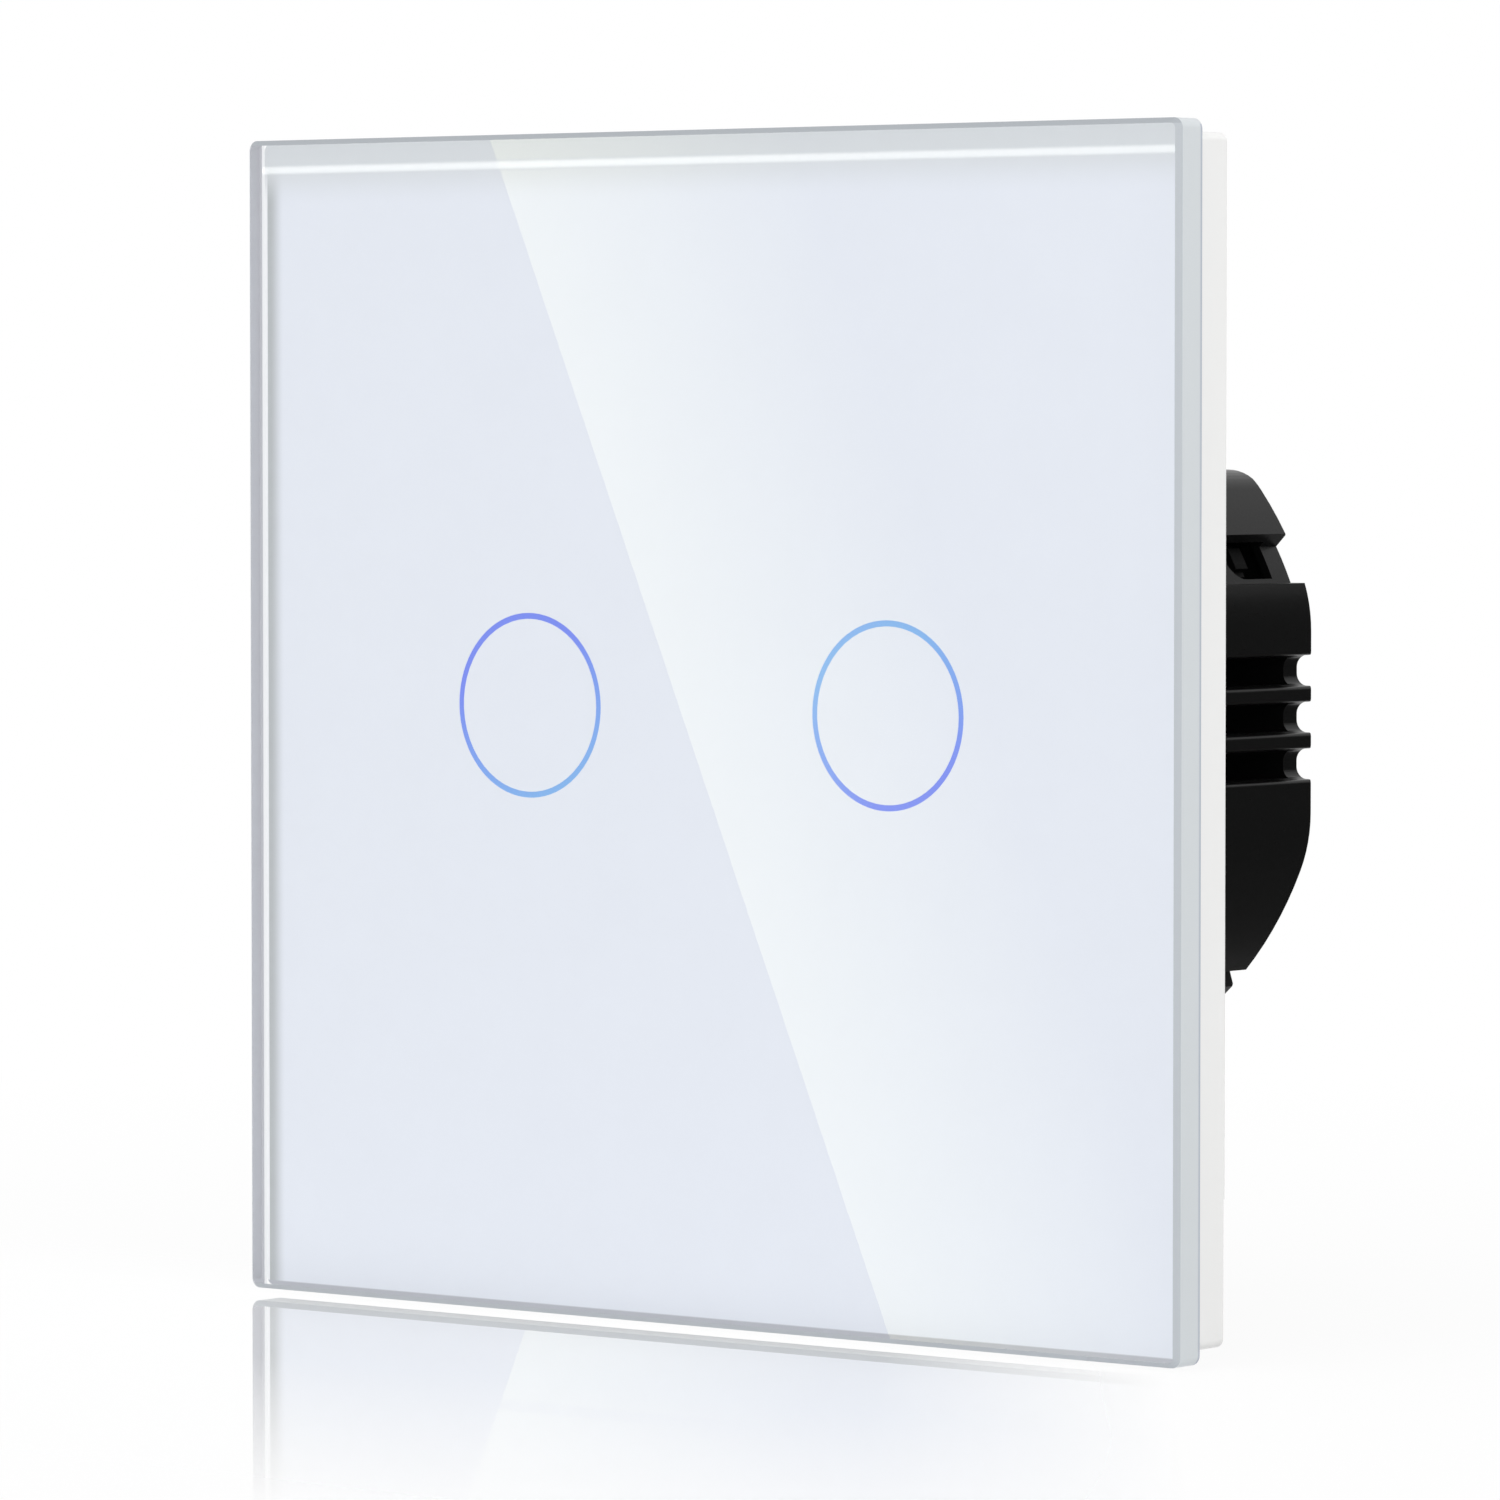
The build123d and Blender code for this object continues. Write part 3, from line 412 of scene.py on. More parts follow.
finishes["coil_copper"] = wound_wire("enamelled_copper", "C27038", coil_wire)
finishes["conductive_foam"] = open_foam("carbon_foam", "3A3A3C", foam_pore)
print("wire", round(coil_wire / mm, 2), "mm, pores", round(foam_pore / mm, 2), "mm")

# %% [markdown]
# ## White ink
# The back of the glass carries fired white ink with a hint of blue. Through the thick glass its
# edges look greyer, because the ground walls shade them. Real light in glass is slow and noisy to
# work out there, so the shade is painted into the ink, together with a painted bright line along
# its left rim: each band is a mask on the ink's own coordinates, laid over the one before.

# %% White ink
print_low, print_high = (Vector(corner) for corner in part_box("white_print"))
ink_patch = 6 * mm
# Width of the painted bright line on the ink's left rim, and of the painted grey line at the
# glass's left wall
painted_line_width = 0.25 * mm
# How far from that edge of the ink each shade is full, and how far it is gone
left_shade = (0.4 * mm, 1.8 * mm)
top_shade = (1.2 * mm, 4.5 * mm)
foot_shade = (0.26 * mm, 0.36 * mm)


def fired_ink():
    """White ink fired on glass, with painted shade along its left, top and bottom edges and a
    painted bright line on its left rim.
    """
    material, tree = new_material("fired_white_ink")
    place = add_node(tree, "ShaderNodeTexCoord").outputs["Object"]
    split = add_node(tree, "ShaderNodeSeparateXYZ", {"Vector": place})
    noise = add_node(tree, "ShaderNodeTexNoise", {
        "Vector": place, "Scale": 1 / ink_patch, "Detail": 2.0,
    })
    near_left = add_node(tree, "ShaderNodeMapRange", {
        "Value": split.outputs["X"],
        "From Min": print_low.x + left_shade[0],
        "From Max": print_low.x + left_shade[1],
        "To Min": 1.0,
        "To Max": 0.0,
    }, interpolation_type="SMOOTHSTEP")
    on_painted_rim = add_node(tree, "ShaderNodeMath", {
        0: split.outputs["X"], 1: print_low.x + painted_line_width,
    }, operation="LESS_THAN")
    near_top = add_node(tree, "ShaderNodeMapRange", {
        "Value": split.outputs["Z"],
        "From Min": print_high.z - top_shade[1],
        "From Max": print_high.z - top_shade[0],
    }, interpolation_type="SMOOTHSTEP")
    near_foot = add_node(tree, "ShaderNodeMapRange", {
        "Value": split.outputs["Z"],
        "From Min": print_low.z + foot_shade[0],
        "From Max": print_low.z + foot_shade[1],
        "To Min": 1.0,
        "To Max": 0.0,
    })
    tone = add_node(tree, "ShaderNodeMix", {
        "Factor": noise.outputs["Fac"], "A": colour("DFE3EC"), "B": colour("E1E5EE"),
    }, data_type="RGBA")
    # Painted shade on the left, top and bottom edges, and a painted bright line on the left rim
    for mask, code in (
        (near_left.outputs["Result"], "B3B7BA"),
        (on_painted_rim.outputs["Value"], "EEEFF2"),
        (near_top.outputs["Result"], "D2D6DA"),
        (near_foot.outputs["Result"], "B7B9C1"),
    ):
        tone = add_node(tree, "ShaderNodeMix", {
            "Factor": mask, "A": tone.outputs["Result"], "B": colour(code),
        }, data_type="RGBA")
    shader = add_node(tree, "ShaderNodeBsdfPrincipled", {
        "Base Color": tone.outputs["Result"], "Roughness": 0.6, "Specular IOR Level": 0.0,
    })
    return covered(material, shader.outputs["BSDF"])


finishes["white_ink"] = fired_ink()
print("ink", [round(size / mm, 2) for size in print_high - print_low])

# %% [markdown]
# ## Glowing rings
# Two rings are left open in the white ink and filled with translucent ink, lit by
# lamps behind. A slanted line through the middle of the panel passes the foot of the
# left ring and the head of the right one. Near it the glow is light blue, and away
# from it violet. An Emission colour shows that evenly, without the noise of real
# lamps that shine through two layers.

# %% Glowing rings
glow_lean = (1.0, 0.0, -2.4)
glow_blue = 2 * mm
glow_violet = 26 * mm


def glowing_ink():
    """Translucent ink over lamps, light blue near a slanted line and violet away from it."""
    material, tree = new_material("glowing_ring_ink")
    place = add_node(tree, "ShaderNodeTexCoord").outputs["Object"]
    lean = add_node(tree, "ShaderNodeVectorMath", {0: place, 1: glow_lean}, operation="DOT_PRODUCT")
    away = add_node(tree, "ShaderNodeMath", {0: lean.outputs["Value"]}, operation="ABSOLUTE")
    share = add_node(tree, "ShaderNodeMapRange", {
        "Value": away.outputs["Value"], "From Min": glow_blue, "From Max": glow_violet,
    })
    tone = add_node(tree, "ShaderNodeMix", {
        "Factor": share.outputs["Result"], "A": colour("7DB1EA"), "B": colour("7286EE"),
    }, data_type="RGBA")
    shader = add_node(tree, "ShaderNodeBsdfPrincipled", {
        "Base Color": colour("20242C"),
        "Roughness": 0.6,
        "Specular IOR Level": 0.0,
        "Emission Color": tone.outputs["Result"],
        "Emission Strength": 1.0,
    })
    return covered(material, shader.outputs["BSDF"])


finishes["lit_ring"] = glowing_ink()
print(len(finishes), "finishes in all")

# %% [markdown]
# ## Finishes go onto the CAD pieces
# The record says which finish each piece has, so the pieces are dressed in a loop
# rather than by hand. Their meshes stay as they came.

# %% Dress the CAD pieces
slots = {piece["node"]: piece["material_slot"] for piece in pieces}
dressed = [name for name, slot in slots.items() if slot in finishes]
for name in dressed:
    nodes[name].data.materials.clear()
    nodes[name].data.materials.append(finishes[slots[name]])
print(len(dressed), "CAD pieces dressed")

# %% [markdown]
# ## Softer edges
# No moulded or punched piece has a knife edge. The largest pieces are copied, their
# loose triangles are joined, and a Bevel modifier rounds their sharp edges by about
# a tenth of a millimetre, so that the edges catch the light. Weighted normals keep
# the large flat faces flat to the eye beside their small rounds.

# %% Rounded copies
merge_distance = 0.001 * mm
flat_within = math.radians(0.5)
sharp_from = math.radians(35)
# The cover is a duller black than the slot that it shares with the housing, and darker: painted
# shade, so that it stays dark behind the windows
own_finishes = {"front_cover": "matt_black"}


def rounded(name, width):
    """Copy a CAD piece, join it up and round its sharp edges by this much."""
    mesh = bmesh.new()
    mesh.from_mesh(nodes[name].data)
    bmesh.ops.remove_doubles(mesh, verts=mesh.verts, dist=merge_distance)
    bmesh.ops.dissolve_limit(mesh, angle_limit=flat_within, verts=mesh.verts, edges=mesh.edges)
    data = bpy.data.meshes.new(f"rounded_{name}")
    mesh.to_mesh(data)
    mesh.free()
    piece = bpy.data.objects.new(f"rounded_{name}", data)
    bpy.context.scene.collection.objects.link(piece)
    data.materials.append(finishes[own_finishes.get(name, slots[name])])
    data.shade_smooth()
    data.set_sharp_from_angle(angle=sharp_from)
    edges = piece.modifiers.new("Rounded edges", "BEVEL")
    edges.width = width
    edges.segments = 2
    edges.limit_method = "ANGLE"
    edges.angle_limit = sharp_from
    weights = piece.modifiers.new("Flat faces stay flat", "WEIGHTED_NORMAL")
    weights.keep_sharp = True
    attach(piece, body_of(nodes[name])[0])
    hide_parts(name)
    return piece


edge_widths = {
    "panel_frame": 0.1 * mm,
    "rear_housing": 0.12 * mm,
    "front_cover": 0.12 * mm,
    "mounting_plate": 0.08 * mm,
    "terminal_block": 0.1 * mm,
}
for name, width in edge_widths.items():
    piece = rounded(name, width)
    print(piece.name, len(piece.data.polygons), "faces")

# %% [markdown]
# ## The glass panel
# Tempered glass has a polished face, a ground bevel round the front and ground
# side walls. The ink lies right behind it. The slab is made again here, because the
# finishes need to know its faces. It is 0.02 mm thinner than in CAD, so that glass
# and ink don't share one plane, where they would flicker.

# %% Glass sizes
optical_gap = 0.02 * mm
glass_corner = 0.7 * mm
corner_segments = 10
glass_bevel = 0.35 * mm
glass_ior = 1.52
glass_low, glass_high = (Vector(corner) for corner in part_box("glass_panel"))
glass_high.y -= optical_gap
print("glass", [round(size / mm, 2) for size in glass_high - glass_low])

# %% [markdown]
# Clear glass bends what is seen through it. Its caustics would leave the ink in a noisy shade, so
# the rays that light the ink pass straight through. Where the back of the glass touches the ink
# nothing reflects. The strip beside the ink is tinted a little darker and a grey line runs along
# the wall: both are painted shade.

# %% Clear glass
def lighting_rays(tree):
    """1 for the rays that carry light to a surface, 0 for those that look at it."""
    rays = add_node(tree, "ShaderNodeLightPath")
    either = add_node(tree, "ShaderNodeMath", {
        0: rays.outputs["Is Shadow Ray"], 1: rays.outputs["Is Diffuse Ray"],
    }, operation="MAXIMUM")
    return either.outputs["Value"]


def clear_glass():
    """Polished soda-lime glass. The light for the ink passes straight through it."""
    material, tree = new_material("clear_glass")
    glass = add_node(tree, "ShaderNodeBsdfPrincipled", {
        "Base Color": colour("FBFDFD"),
        "Roughness": 0.0,
        "IOR": glass_ior,
        "Transmission Weight": 1.0,
    })
    through = add_node(tree, "ShaderNodeBsdfTransparent")
    surface = add_node(tree, "ShaderNodeMixShader", {
        0: lighting_rays(tree), 1: glass.outputs["BSDF"], 2: through.outputs["BSDF"],
    })
    return covered(material, surface.outputs["Shader"])


def fused_back():
    """The back of the glass: nothing reflects at the ink, and beside it one looks through painted
    shade.
    """
    material, tree = new_material("fused_glass_back")
    place = add_node(tree, "ShaderNodeTexCoord").outputs["Object"]
    split = add_node(tree, "ShaderNodeSeparateXYZ", {"Vector": place})
    beside_ink = add_node(tree, "ShaderNodeMath", {
        0: split.outputs["X"], 1: print_low.x,
    }, operation="LESS_THAN")
    # Painted shade: the strip beside the ink is tinted a little darker
    tint = add_node(tree, "ShaderNodeMix", {
        "Factor": beside_ink.outputs["Value"], "A": white, "B": colour("EFF0F3"),
    }, data_type="RGBA")
    through = add_node(tree, "ShaderNodeBsdfTransparent", {"Color": tint.outputs["Result"]})
    # Painted shade: a grey line along the left wall of the glass
    at_wall = add_node(tree, "ShaderNodeMath", {
        0: split.outputs["X"], 1: glass_low.x + painted_line_width,
    }, operation="LESS_THAN")
    wall_shade = add_node(tree, "ShaderNodeBsdfDiffuse", {"Color": colour("B8B9C0")})
    surface = add_node(tree, "ShaderNodeMixShader", {
        0: at_wall.outputs["Value"], 1: through.outputs["BSDF"], 2: wall_shade.outputs["BSDF"],
    })
    return covered(material, surface.outputs["Shader"])


# %% [markdown]
# A grinding wheel leaves glass full of tiny pits. They scatter the light, so the
# bevel and the walls look like pale grey stone rather than like a window. True
# scattering glass would be slow, and a fine grain on a plain surface looks the same.
# The tone differs between outside and inside and along the back edge, and it is held down on the
# top bevel, which faces the brightest part of the room. These darker tones are painted shade. So is
# the bevel's grey, which is darker than the walls' and stands in for the dark zone that the bevel
# refracts.

# %% Ground glass
grit = 0.15 * mm
grit_depth = 0.01 * mm
# How far from the back face the painted shade along the back edge starts and where it is full
back_shade_span = (0.25 * mm, 0.1 * mm)
light_share = 0.9


def ground_glass(name, code, inside_shade_code, top_shade_code, roughness, gloss_level):
    """Ground glass: one tone from outside, and painted shade from inside, along the back edge and
    along the top.
    """
    material, tree = new_material(name)
    place = add_node(tree, "ShaderNodeTexCoord").outputs["Object"]
    split = add_node(tree, "ShaderNodeSeparateXYZ", {"Vector": place})
    noise = add_node(tree, "ShaderNodeTexNoise", {
        "Vector": place, "Scale": 1 / grit, "Detail": 2.0,
    })
    bump = add_node(tree, "ShaderNodeBump", {
        "Height": noise.outputs["Fac"], "Strength": 0.2, "Distance": grit_depth,
    })
    in_back_shade = add_node(tree, "ShaderNodeMapRange", {
        "Value": split.outputs["Y"],
        "From Min": glass_high.y - back_shade_span[0],
        "From Max": glass_high.y - back_shade_span[1],
    })
    at_top = add_node(tree, "ShaderNodeMath", {
        0: split.outputs["Z"], 1: glass_high.z - glass_bevel - optical_gap,
    }, operation="GREATER_THAN")
    from_inside = add_node(tree, "ShaderNodeNewGeometry").outputs["Backfacing"]
    # Painted shade: darker along the back edge, along the top and seen from inside
    tone = add_node(tree, "ShaderNodeMix", {
        "Factor": in_back_shade.outputs["Result"], "A": colour(code), "B": colour("B4BAC6"),
    }, data_type="RGBA")
    for mask, mask_code in ((at_top.outputs["Value"], top_shade_code), (from_inside, inside_shade_code)):
        tone = add_node(tree, "ShaderNodeMix", {
            "Factor": mask, "A": tone.outputs["Result"], "B": colour(mask_code),
        }, data_type="RGBA")
    shader = add_node(tree, "ShaderNodeBsdfPrincipled", {
        "Base Color": tone.outputs["Result"],
        "Roughness": roughness,
        "IOR": glass_ior,
        "Specular IOR Level": gloss_level,
        "Normal": bump.outputs["Normal"],
    })
    through = add_node(tree, "ShaderNodeBsdfTransparent")
    share = add_node(tree, "ShaderNodeMath", {
        0: lighting_rays(tree), 1: light_share,
    }, operation="MULTIPLY")
    surface = add_node(tree, "ShaderNodeMixShader", {
        0: share.outputs["Value"], 1: shader.outputs["BSDF"], 2: through.outputs["BSDF"],
    })
    return covered(material, surface.outputs["Shader"])


# %% [markdown]
# The slab starts as a box. The four corners of the square and then the front rim
# are bevelled in mesh code, because a modifier couldn't tell the two apart, and each
# face gets its finish by the way it points.

# %% Glass slab
# The bevel's darker grey and the darker tones from inside and along the top are painted shade
glass_finishes = [
    clear_glass(),
    ground_glass("bevel_painted_shade", "B5BABF", "B5BABF", "A8ADB2", 0.3, 0.15),
    ground_glass("ground_wall", "D4D9DC", "B6B7BD", "D4D9DC", 0.4, 0.5),
    fused_back(),
]
polished_face, bevel_face, wall_face, back_face = range(len(glass_finishes))
almost_square_on = 0.95
almost_edge_on = 0.3


def finished(mesh, name, *materials):
    """Turn a bmesh into an object of the scene with these materials."""
    data = bpy.data.meshes.new(name)
    mesh.to_mesh(data)
    mesh.free()
    piece = bpy.data.objects.new(name, data)
    bpy.context.scene.collection.objects.link(piece)
    for material in materials:
        data.materials.append(material)
    return piece


def bevelled(mesh, edges, width, segments):
    """Bevel these edges of a bmesh."""
    bmesh.ops.bevel(
        mesh, geom=edges, offset=width, affect="EDGES", segments=segments, profile=0.5, material=-1,
    )


slab = bmesh.new()
bmesh.ops.create_cube(slab, size=1)
bmesh.ops.scale(slab, vec=glass_high - glass_low, verts=slab.verts)
bmesh.ops.translate(slab, vec=(glass_low + glass_high) / 2, verts=slab.verts)
corner_edges = [
    edge for edge in slab.edges
    if abs((edge.verts[0].co - edge.verts[1].co).normalized().y) > almost_square_on
]
bevelled(slab, corner_edges, glass_corner, corner_segments)
front_rim = [
    edge for edge in slab.edges
    if all(vert.co.y < glass_low.y + glass_bevel / 2 for vert in edge.verts)
]
bevelled(slab, front_rim, glass_bevel, 1)
for face in slab.faces:
    square_on = abs(face.normal.y)
    face.smooth = square_on < almost_square_on
    if face.normal.y > almost_square_on:
        face.material_index = back_face
    elif square_on > almost_square_on:
        face.material_index = polished_face
    elif square_on > almost_edge_on:
        face.material_index = bevel_face
    else:
        face.material_index = wall_face
glass = finished(slab, "printed_glass", *glass_finishes)
glass.data.set_sharp_from_angle(angle=math.radians(30))
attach(glass, "front_panel")
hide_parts("glass_panel")
print(glass.name, len(glass.data.polygons), "faces")

# %% [markdown]
# ## Camera
# A long lens from the right and a little above the middle, as in a catalogue shot.
# Its place was worked out from the corners of the square panel, not by eye, so the
# model and the picture agree.

# %% Camera
camera_place = Vector((354.12, -441.22, 21.93)) * mm
camera_target = Vector((4.95, -6.5, -1.22)) * mm
camera_data = bpy.data.cameras.new("camera")
camera_data.lens = 201.66
camera_data.sensor_width = 36.0
camera_data.clip_start = 0.01
camera = bpy.data.objects.new("camera", camera_data)
camera.location = camera_place
camera.rotation_euler = (camera_target - camera_place).to_track_quat("-Z", "Y").to_euler()
bpy.context.scene.collection.objects.link(camera)
bpy.context.scene.camera = camera
print("camera", round((camera_target - camera_place).length / mm), "mm away")

# %% [markdown]
# ## Floor
# A white table. More light on it would burn out the pale frame, so it glows by
# itself, but only for the rays that look at it, and a little less near the switch.
# The rays that carry light meet a plain matt white, and the soft shadow stays.

# %% White of the table
shade_near, shade_far = 60 * mm, 220 * mm
shaded_glow = 0.92


def looking_rays(tree):
    """1 for the rays that look at a surface, straight, in a mirror or through glass."""
    rays = add_node(tree, "ShaderNodeLightPath")
    seen = rays.outputs["Is Camera Ray"]
    for kind in ("Is Glossy Ray", "Is Transmission Ray"):
        either = add_node(tree, "ShaderNodeMath", {
            0: seen, 1: rays.outputs[kind],
        }, operation="MAXIMUM")
        seen = either.outputs["Value"]
    return seen


def white_table(tree, place):
    """Matt white that glows for looking rays, a little less near the switch."""
    away = add_node(tree, "ShaderNodeVectorMath", {0: place}, operation="LENGTH")
    glow_share = add_node(tree, "ShaderNodeMapRange", {
        "Value": away.outputs["Value"],
        "From Min": shade_near,
        "From Max": shade_far,
        "To Min": shaded_glow,
        "To Max": 1.0,
    })
    seen = add_node(tree, "ShaderNodeMath", {
        0: looking_rays(tree), 1: glow_share.outputs["Result"],
    }, operation="MULTIPLY")
    matt = add_node(tree, "ShaderNodeBsdfDiffuse", {"Color": colour("F4F4F4")})
    glow = add_node(tree, "ShaderNodeEmission", {"Color": white, "Strength": 1.0})
    return add_node(tree, "ShaderNodeMixShader", {
        0: seen.outputs["Value"], 1: matt.outputs["BSDF"], 2: glow.outputs["Emission"],
    })


# %% [markdown]
# The table top is glossy and shows a faint mirror image that fades with the distance
# from the switch. An even coat would mirror the panel all the way down, so three
# fades on the table's own coordinates limit it: to the front, to the back and along
# a slanted line to the right.

# %% Mirror coat of the table
mirror_strength = 0.75
mirror_front = (-92 * mm, -34 * mm)
mirror_back = (-6 * mm, 12 * mm)
mirror_side = (11 * mm, 34.5 * mm)
mirror_slant = (1.0, 0.756, 0.0)


def glossy_table():
    """White table top under a mirror coat that fades out to its sides."""
    material, tree = new_material("glossy_white_table")
    place = add_node(tree, "ShaderNodeTexCoord").outputs["Object"]
    split = add_node(tree, "ShaderNodeSeparateXYZ", {"Vector": place})
    slanted = add_node(tree, "ShaderNodeVectorMath", {
        0: place, 1: mirror_slant,
    }, operation="DOT_PRODUCT")
    base = white_table(tree, place)
    fades = []
    for value, (start, end), (first, last) in (
        (split.outputs["Y"], mirror_front, (0.0, mirror_strength)),
        (slanted.outputs["Value"], mirror_side, (1.0, 0.0)),
        (split.outputs["Y"], mirror_back, (1.0, 0.0)),
    ):
        fade = add_node(tree, "ShaderNodeMapRange", {
            "Value": value, "From Min": start, "From Max": end, "To Min": first, "To Max": last,
        })
        fades.append(fade.outputs["Result"])
    coat = fades[0]
    for fade in fades[1:]:
        both = add_node(tree, "ShaderNodeMath", {0: coat, 1: fade}, operation="MULTIPLY")
        coat = both.outputs["Value"]
    mirror = add_node(tree, "ShaderNodeBsdfGlossy", {"Color": white, "Roughness": 0.0})
    surface = add_node(tree, "ShaderNodeMixShader", {
        0: coat, 1: base.outputs["Shader"], 2: mirror.outputs["BSDF"],
    })
    return covered(material, surface.outputs["Shader"])


# %% Table
floor_drop = 0.45 * mm
floor_level = cad_box[0][2] - floor_drop
floor_reach = 2.0
table_mesh = bmesh.new()
bmesh.ops.create_grid(table_mesh, x_segments=1, y_segments=1, size=floor_reach)
bmesh.ops.translate(table_mesh, vec=(0.0, 0.0, floor_level), verts=table_mesh.verts)
table = finished(table_mesh, "table_top", glossy_table())
table.visible_glossy = False
print("table at", round(floor_level / mm, 2), "mm")

# %% [markdown]
# ## Light
# A pale room gives most of the light, and large softboxes above, in front and on the
# right give the shapes their light and dark sides. The room looks white to looking
# rays but lights the object with less than that, so pale plastic doesn't burn out.

# %% Room light
room_strength = 0.68
world = bpy.data.worlds.new("studio")
bpy.context.scene.world = world
world.use_nodes = True
room = world.node_tree
room.nodes.clear()
strength = add_node(room, "ShaderNodeMapRange", {
    "Value": looking_rays(room), "To Min": room_strength, "To Max": 1.0,
})
background = add_node(room, "ShaderNodeBackground", {
    "Color": white, "Strength": strength.outputs["Result"],
})
add_node(room, "ShaderNodeOutputWorld", {"Surface": background.outputs["Background"]})
print("room light", room_strength)


# %% Softboxes
def softbox(name, place, size, power):
    """A square area lamp of this size and power that faces the switch."""
    data = bpy.data.lights.new(name, "AREA")
    data.shape = "SQUARE"
    data.size = size
    data.energy = power
    lamp = bpy.data.objects.new(name, data)
    lamp.location = place
    lamp.rotation_euler = (-Vector(place)).to_track_quat("-Z", "Y").to_euler()
    bpy.context.scene.collection.objects.link(lamp)
    print(name, power, "W")


softbox("top_softbox", (0.1, -0.2, 0.8), 0.6, 1.2)
softbox("front_softbox", (-0.1, -0.9, 0.35), 0.7, 1.8)
softbox("right_softbox", (0.9, -0.3, 0.3), 0.6, 2.6)

# %% [markdown]
# ## Reflections
# The slanted band in the glass is the mirror image of a tall card beside the camera.
# To find the card, the camera is mirrored in the glass, and the lines from there
# through the band's ends are carried on into the room. That puts the card's sharp
# side where the band's sharp edge shows. The card is seen only in reflections and
# lights nothing.

# %% Cards that only reflections show
glass_front = cad_box[0][1]
card_distance = 0.6
mirrored_camera = Vector((camera_place.x, 2 * glass_front - camera_place.y, camera_place.z))


def in_the_room(point):
    """Where the reflected view through this point of the glass meets the card's plane."""
    return point + (point - mirrored_camera) * (card_distance / (mirrored_camera.y - glass_front))


def reflected_card(name, corners, material):
    """A four-sided card that only reflections show, with its UV map across it."""
    mesh = bmesh.new()
    face = mesh.faces.new([mesh.verts.new(corner) for corner in corners])
    layer = mesh.loops.layers.uv.new("UVMap")
    for loop, uv in zip(face.loops, ((0, 0), (1, 0), (1, 1), (0, 1))):
        loop[layer].uv = uv
    card = finished(mesh, name, material)
    card.visible_camera = False
    card.visible_diffuse = False
    card.visible_shadow = False
    card.visible_transmission = False
    print(name, "hung")


def added_light(tree, tint, strength):
    """Light of this colour, added to whatever lies behind it."""
    light = add_node(tree, "ShaderNodeEmission", {"Color": tint, "Strength": strength})
    through = add_node(tree, "ShaderNodeBsdfTransparent")
    both = add_node(tree, "ShaderNodeAddShader", {
        0: light.outputs["Emission"], 1: through.outputs["BSDF"],
    })
    return both.outputs["Shader"]


# %% Band card
band_power = 2.0
band_tint = (1.0, 1.0, 0.52, 1.0)
band_width = 26 * mm
# Where the band's sharp side meets the top and the bottom of the glass
band_top = Vector((-17.69 * mm, glass_front, 39.65 * mm))
band_bottom = Vector((16.59 * mm, glass_front, -39.28 * mm))
band_overrun = 0.3 * (band_top - band_bottom)


def card_light():
    """Light that is strongest at the card's sharp side and fades across it."""
    material, tree = new_material("card_light")
    place = add_node(tree, "ShaderNodeUVMap").outputs["UV"]
    split = add_node(tree, "ShaderNodeSeparateXYZ", {"Vector": place})
    fade = add_node(tree, "ShaderNodeMapRange", {
        "Value": split.outputs["X"], "To Min": band_power, "To Max": 0.0,
    })
    return covered(material, added_light(tree, band_tint, fade.outputs["Result"]))


across = Vector((band_width, 0, 0))
reflected_card("band_card", [in_the_room(point) for point in (
    band_bottom - band_overrun, band_bottom - band_overrun + across,
    band_top + band_overrun + across, band_top + band_overrun,
)], card_light())

# %% [markdown]
# A narrow lamp far in front shows as the bright line along the top of the glass. It
# is placed in the same way as the card. Only the first reflection shows it, because
# inside the glass it would come back as a second, false line.

# %% Line lamp
# Where the line lies on the glass, and how much lower it is at its left end
line_low, line_high = 37.62 * mm, 38.38 * mm
line_left, line_right = -38.5 * mm, 39.7 * mm
line_fall = 0.08 * mm
line_power = 5.0
line_tint = (1.0, 1.0, 0.95, 1.0)
line_core, line_edge = 0.12, 0.5


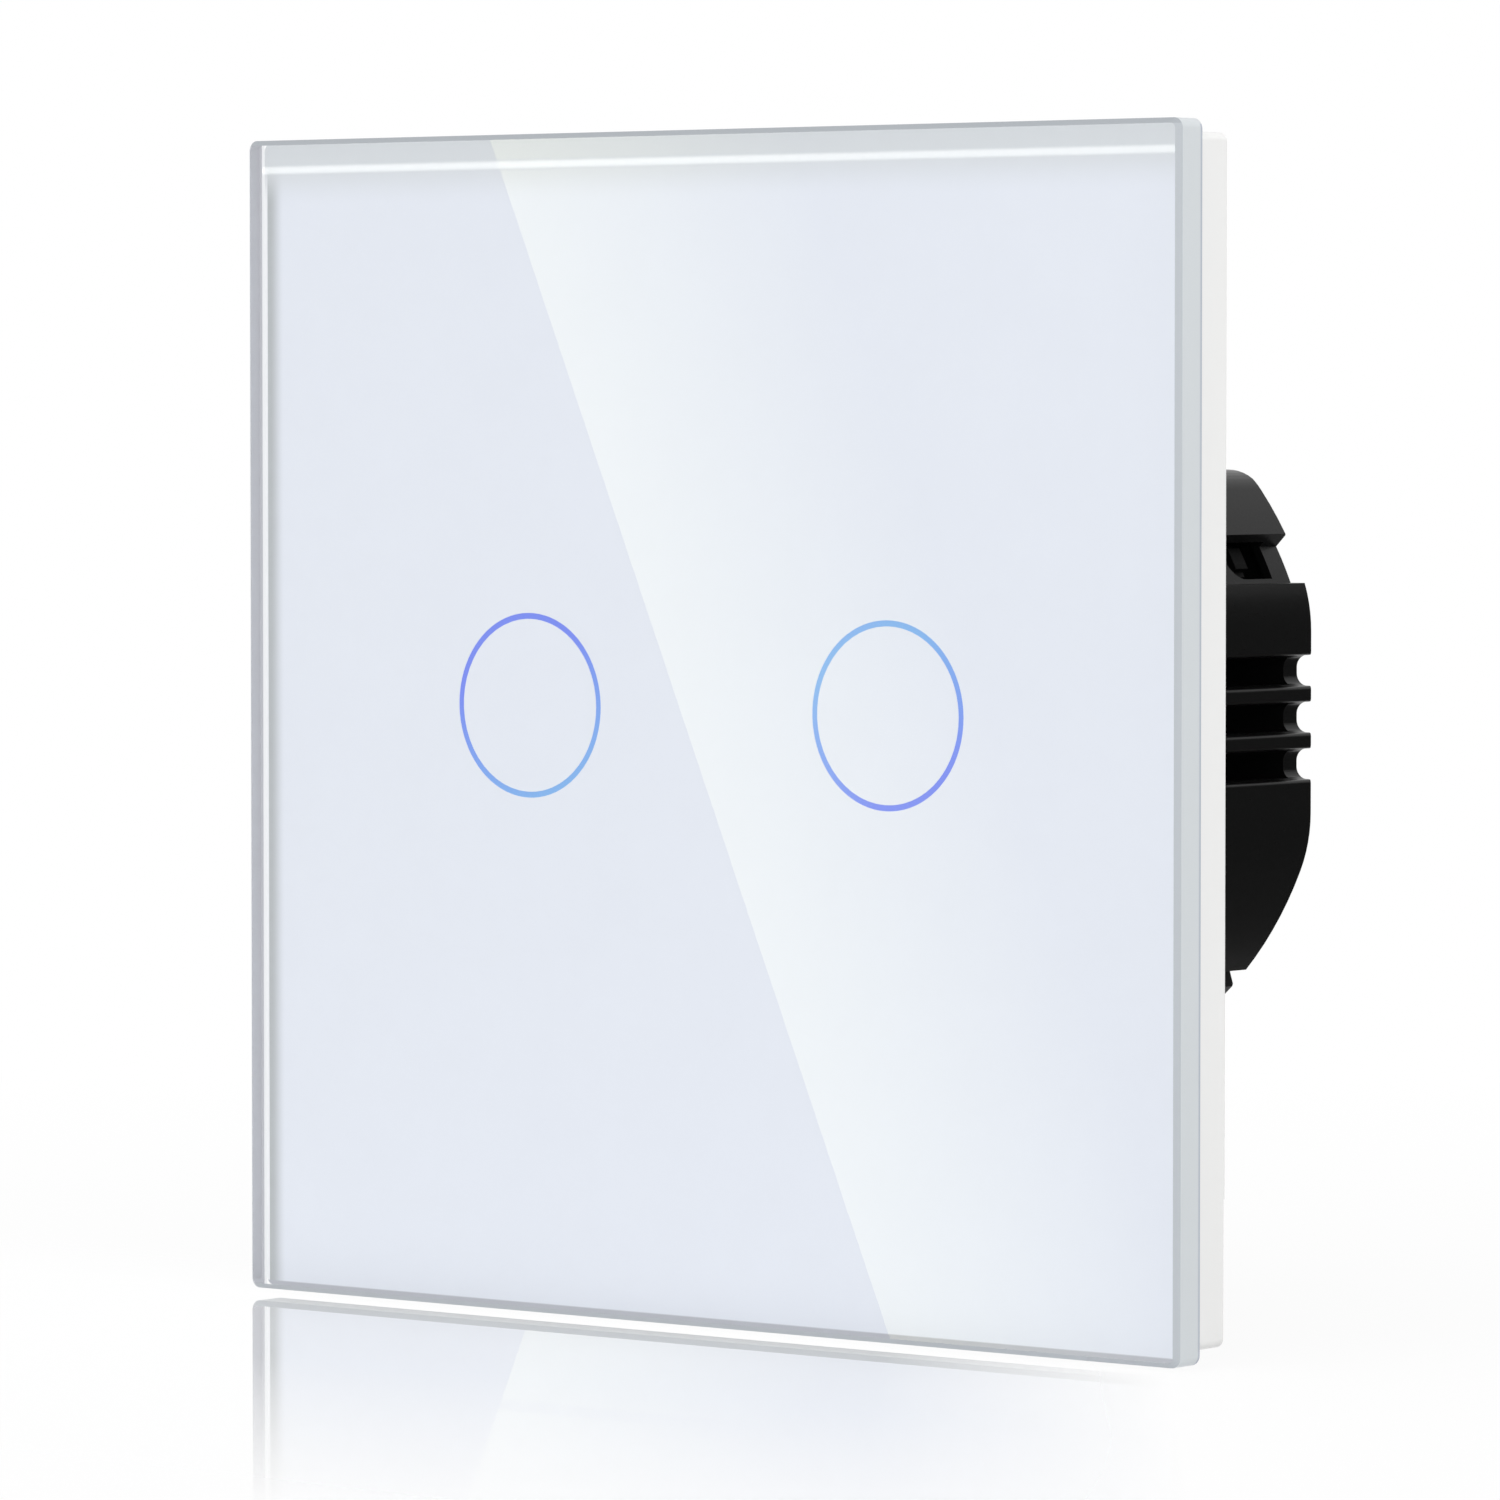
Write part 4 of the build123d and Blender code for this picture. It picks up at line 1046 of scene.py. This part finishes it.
def line_light():
    """A strip that fades to both long sides. Only a single reflection shows it."""
    material, tree = new_material("line_light")
    place = add_node(tree, "ShaderNodeUVMap").outputs["UV"]
    split = add_node(tree, "ShaderNodeSeparateXYZ", {"Vector": place})
    offset = add_node(tree, "ShaderNodeMath", {
        0: split.outputs["Y"], 1: 0.5,
    }, operation="SUBTRACT")
    aside = add_node(tree, "ShaderNodeMath", {0: offset.outputs["Value"]}, operation="ABSOLUTE")
    fade = add_node(tree, "ShaderNodeMapRange", {
        "Value": aside.outputs["Value"],
        "From Min": line_core,
        "From Max": line_edge,
        "To Min": line_power,
        "To Max": 0.0,
    }, interpolation_type="SMOOTHSTEP")
    rays = add_node(tree, "ShaderNodeLightPath")
    first_bounce = add_node(tree, "ShaderNodeMath", {
        0: rays.outputs["Ray Depth"], 1: 1.5,
    }, operation="LESS_THAN")
    power = add_node(tree, "ShaderNodeMath", {
        0: fade.outputs["Result"], 1: first_bounce.outputs["Value"],
    }, operation="MULTIPLY")
    return covered(material, added_light(tree, line_tint, power.outputs["Value"]))


reflected_card("line_lamp", [in_the_room(Vector((x, glass_front, z))) for x, z in (
    (line_left, line_low - line_fall), (line_right, line_low),
    (line_right, line_high), (line_left, line_high - line_fall),
)], line_light())

# %% [markdown]
# Two dark flags behind the switch keep its dark side dark, as in a studio. Without
# them the black module would mirror the pale room and look grey.

# %% Flags
flag_strength = 0.08


def grey_flag():
    """Dark cloth, mirrored by satin surfaces but not by the sharp mirror of the table."""
    material, tree = new_material("grey_cloth")
    cloth = add_node(tree, "ShaderNodeEmission", {"Color": white, "Strength": flag_strength})
    through = add_node(tree, "ShaderNodeBsdfTransparent")
    rays = add_node(tree, "ShaderNodeLightPath")
    surface = add_node(tree, "ShaderNodeMixShader", {
        0: rays.outputs["Is Singular Ray"],
        1: cloth.outputs["Emission"],
        2: through.outputs["BSDF"],
    })
    return covered(material, surface.outputs["Shader"])


reflected_card("side_flag", [
    (0.0, 0.8, -0.5), (0.95, 0.05, -0.5), (0.95, 0.05, 0.2), (0.0, 0.8, 0.2),
], grey_flag())
reflected_card("low_flag", [
    (-0.08, 0.6, -0.9), (0.9, 0.6, -0.9), (0.9, 0.6, -0.12), (-0.08, 0.6, -0.12),
], grey_flag())

# %% [markdown]
# ## Output settings
# The Standard view shows each colour as it is written.

# %% Output settings
bpy.context.scene.view_settings.view_transform = "Standard"
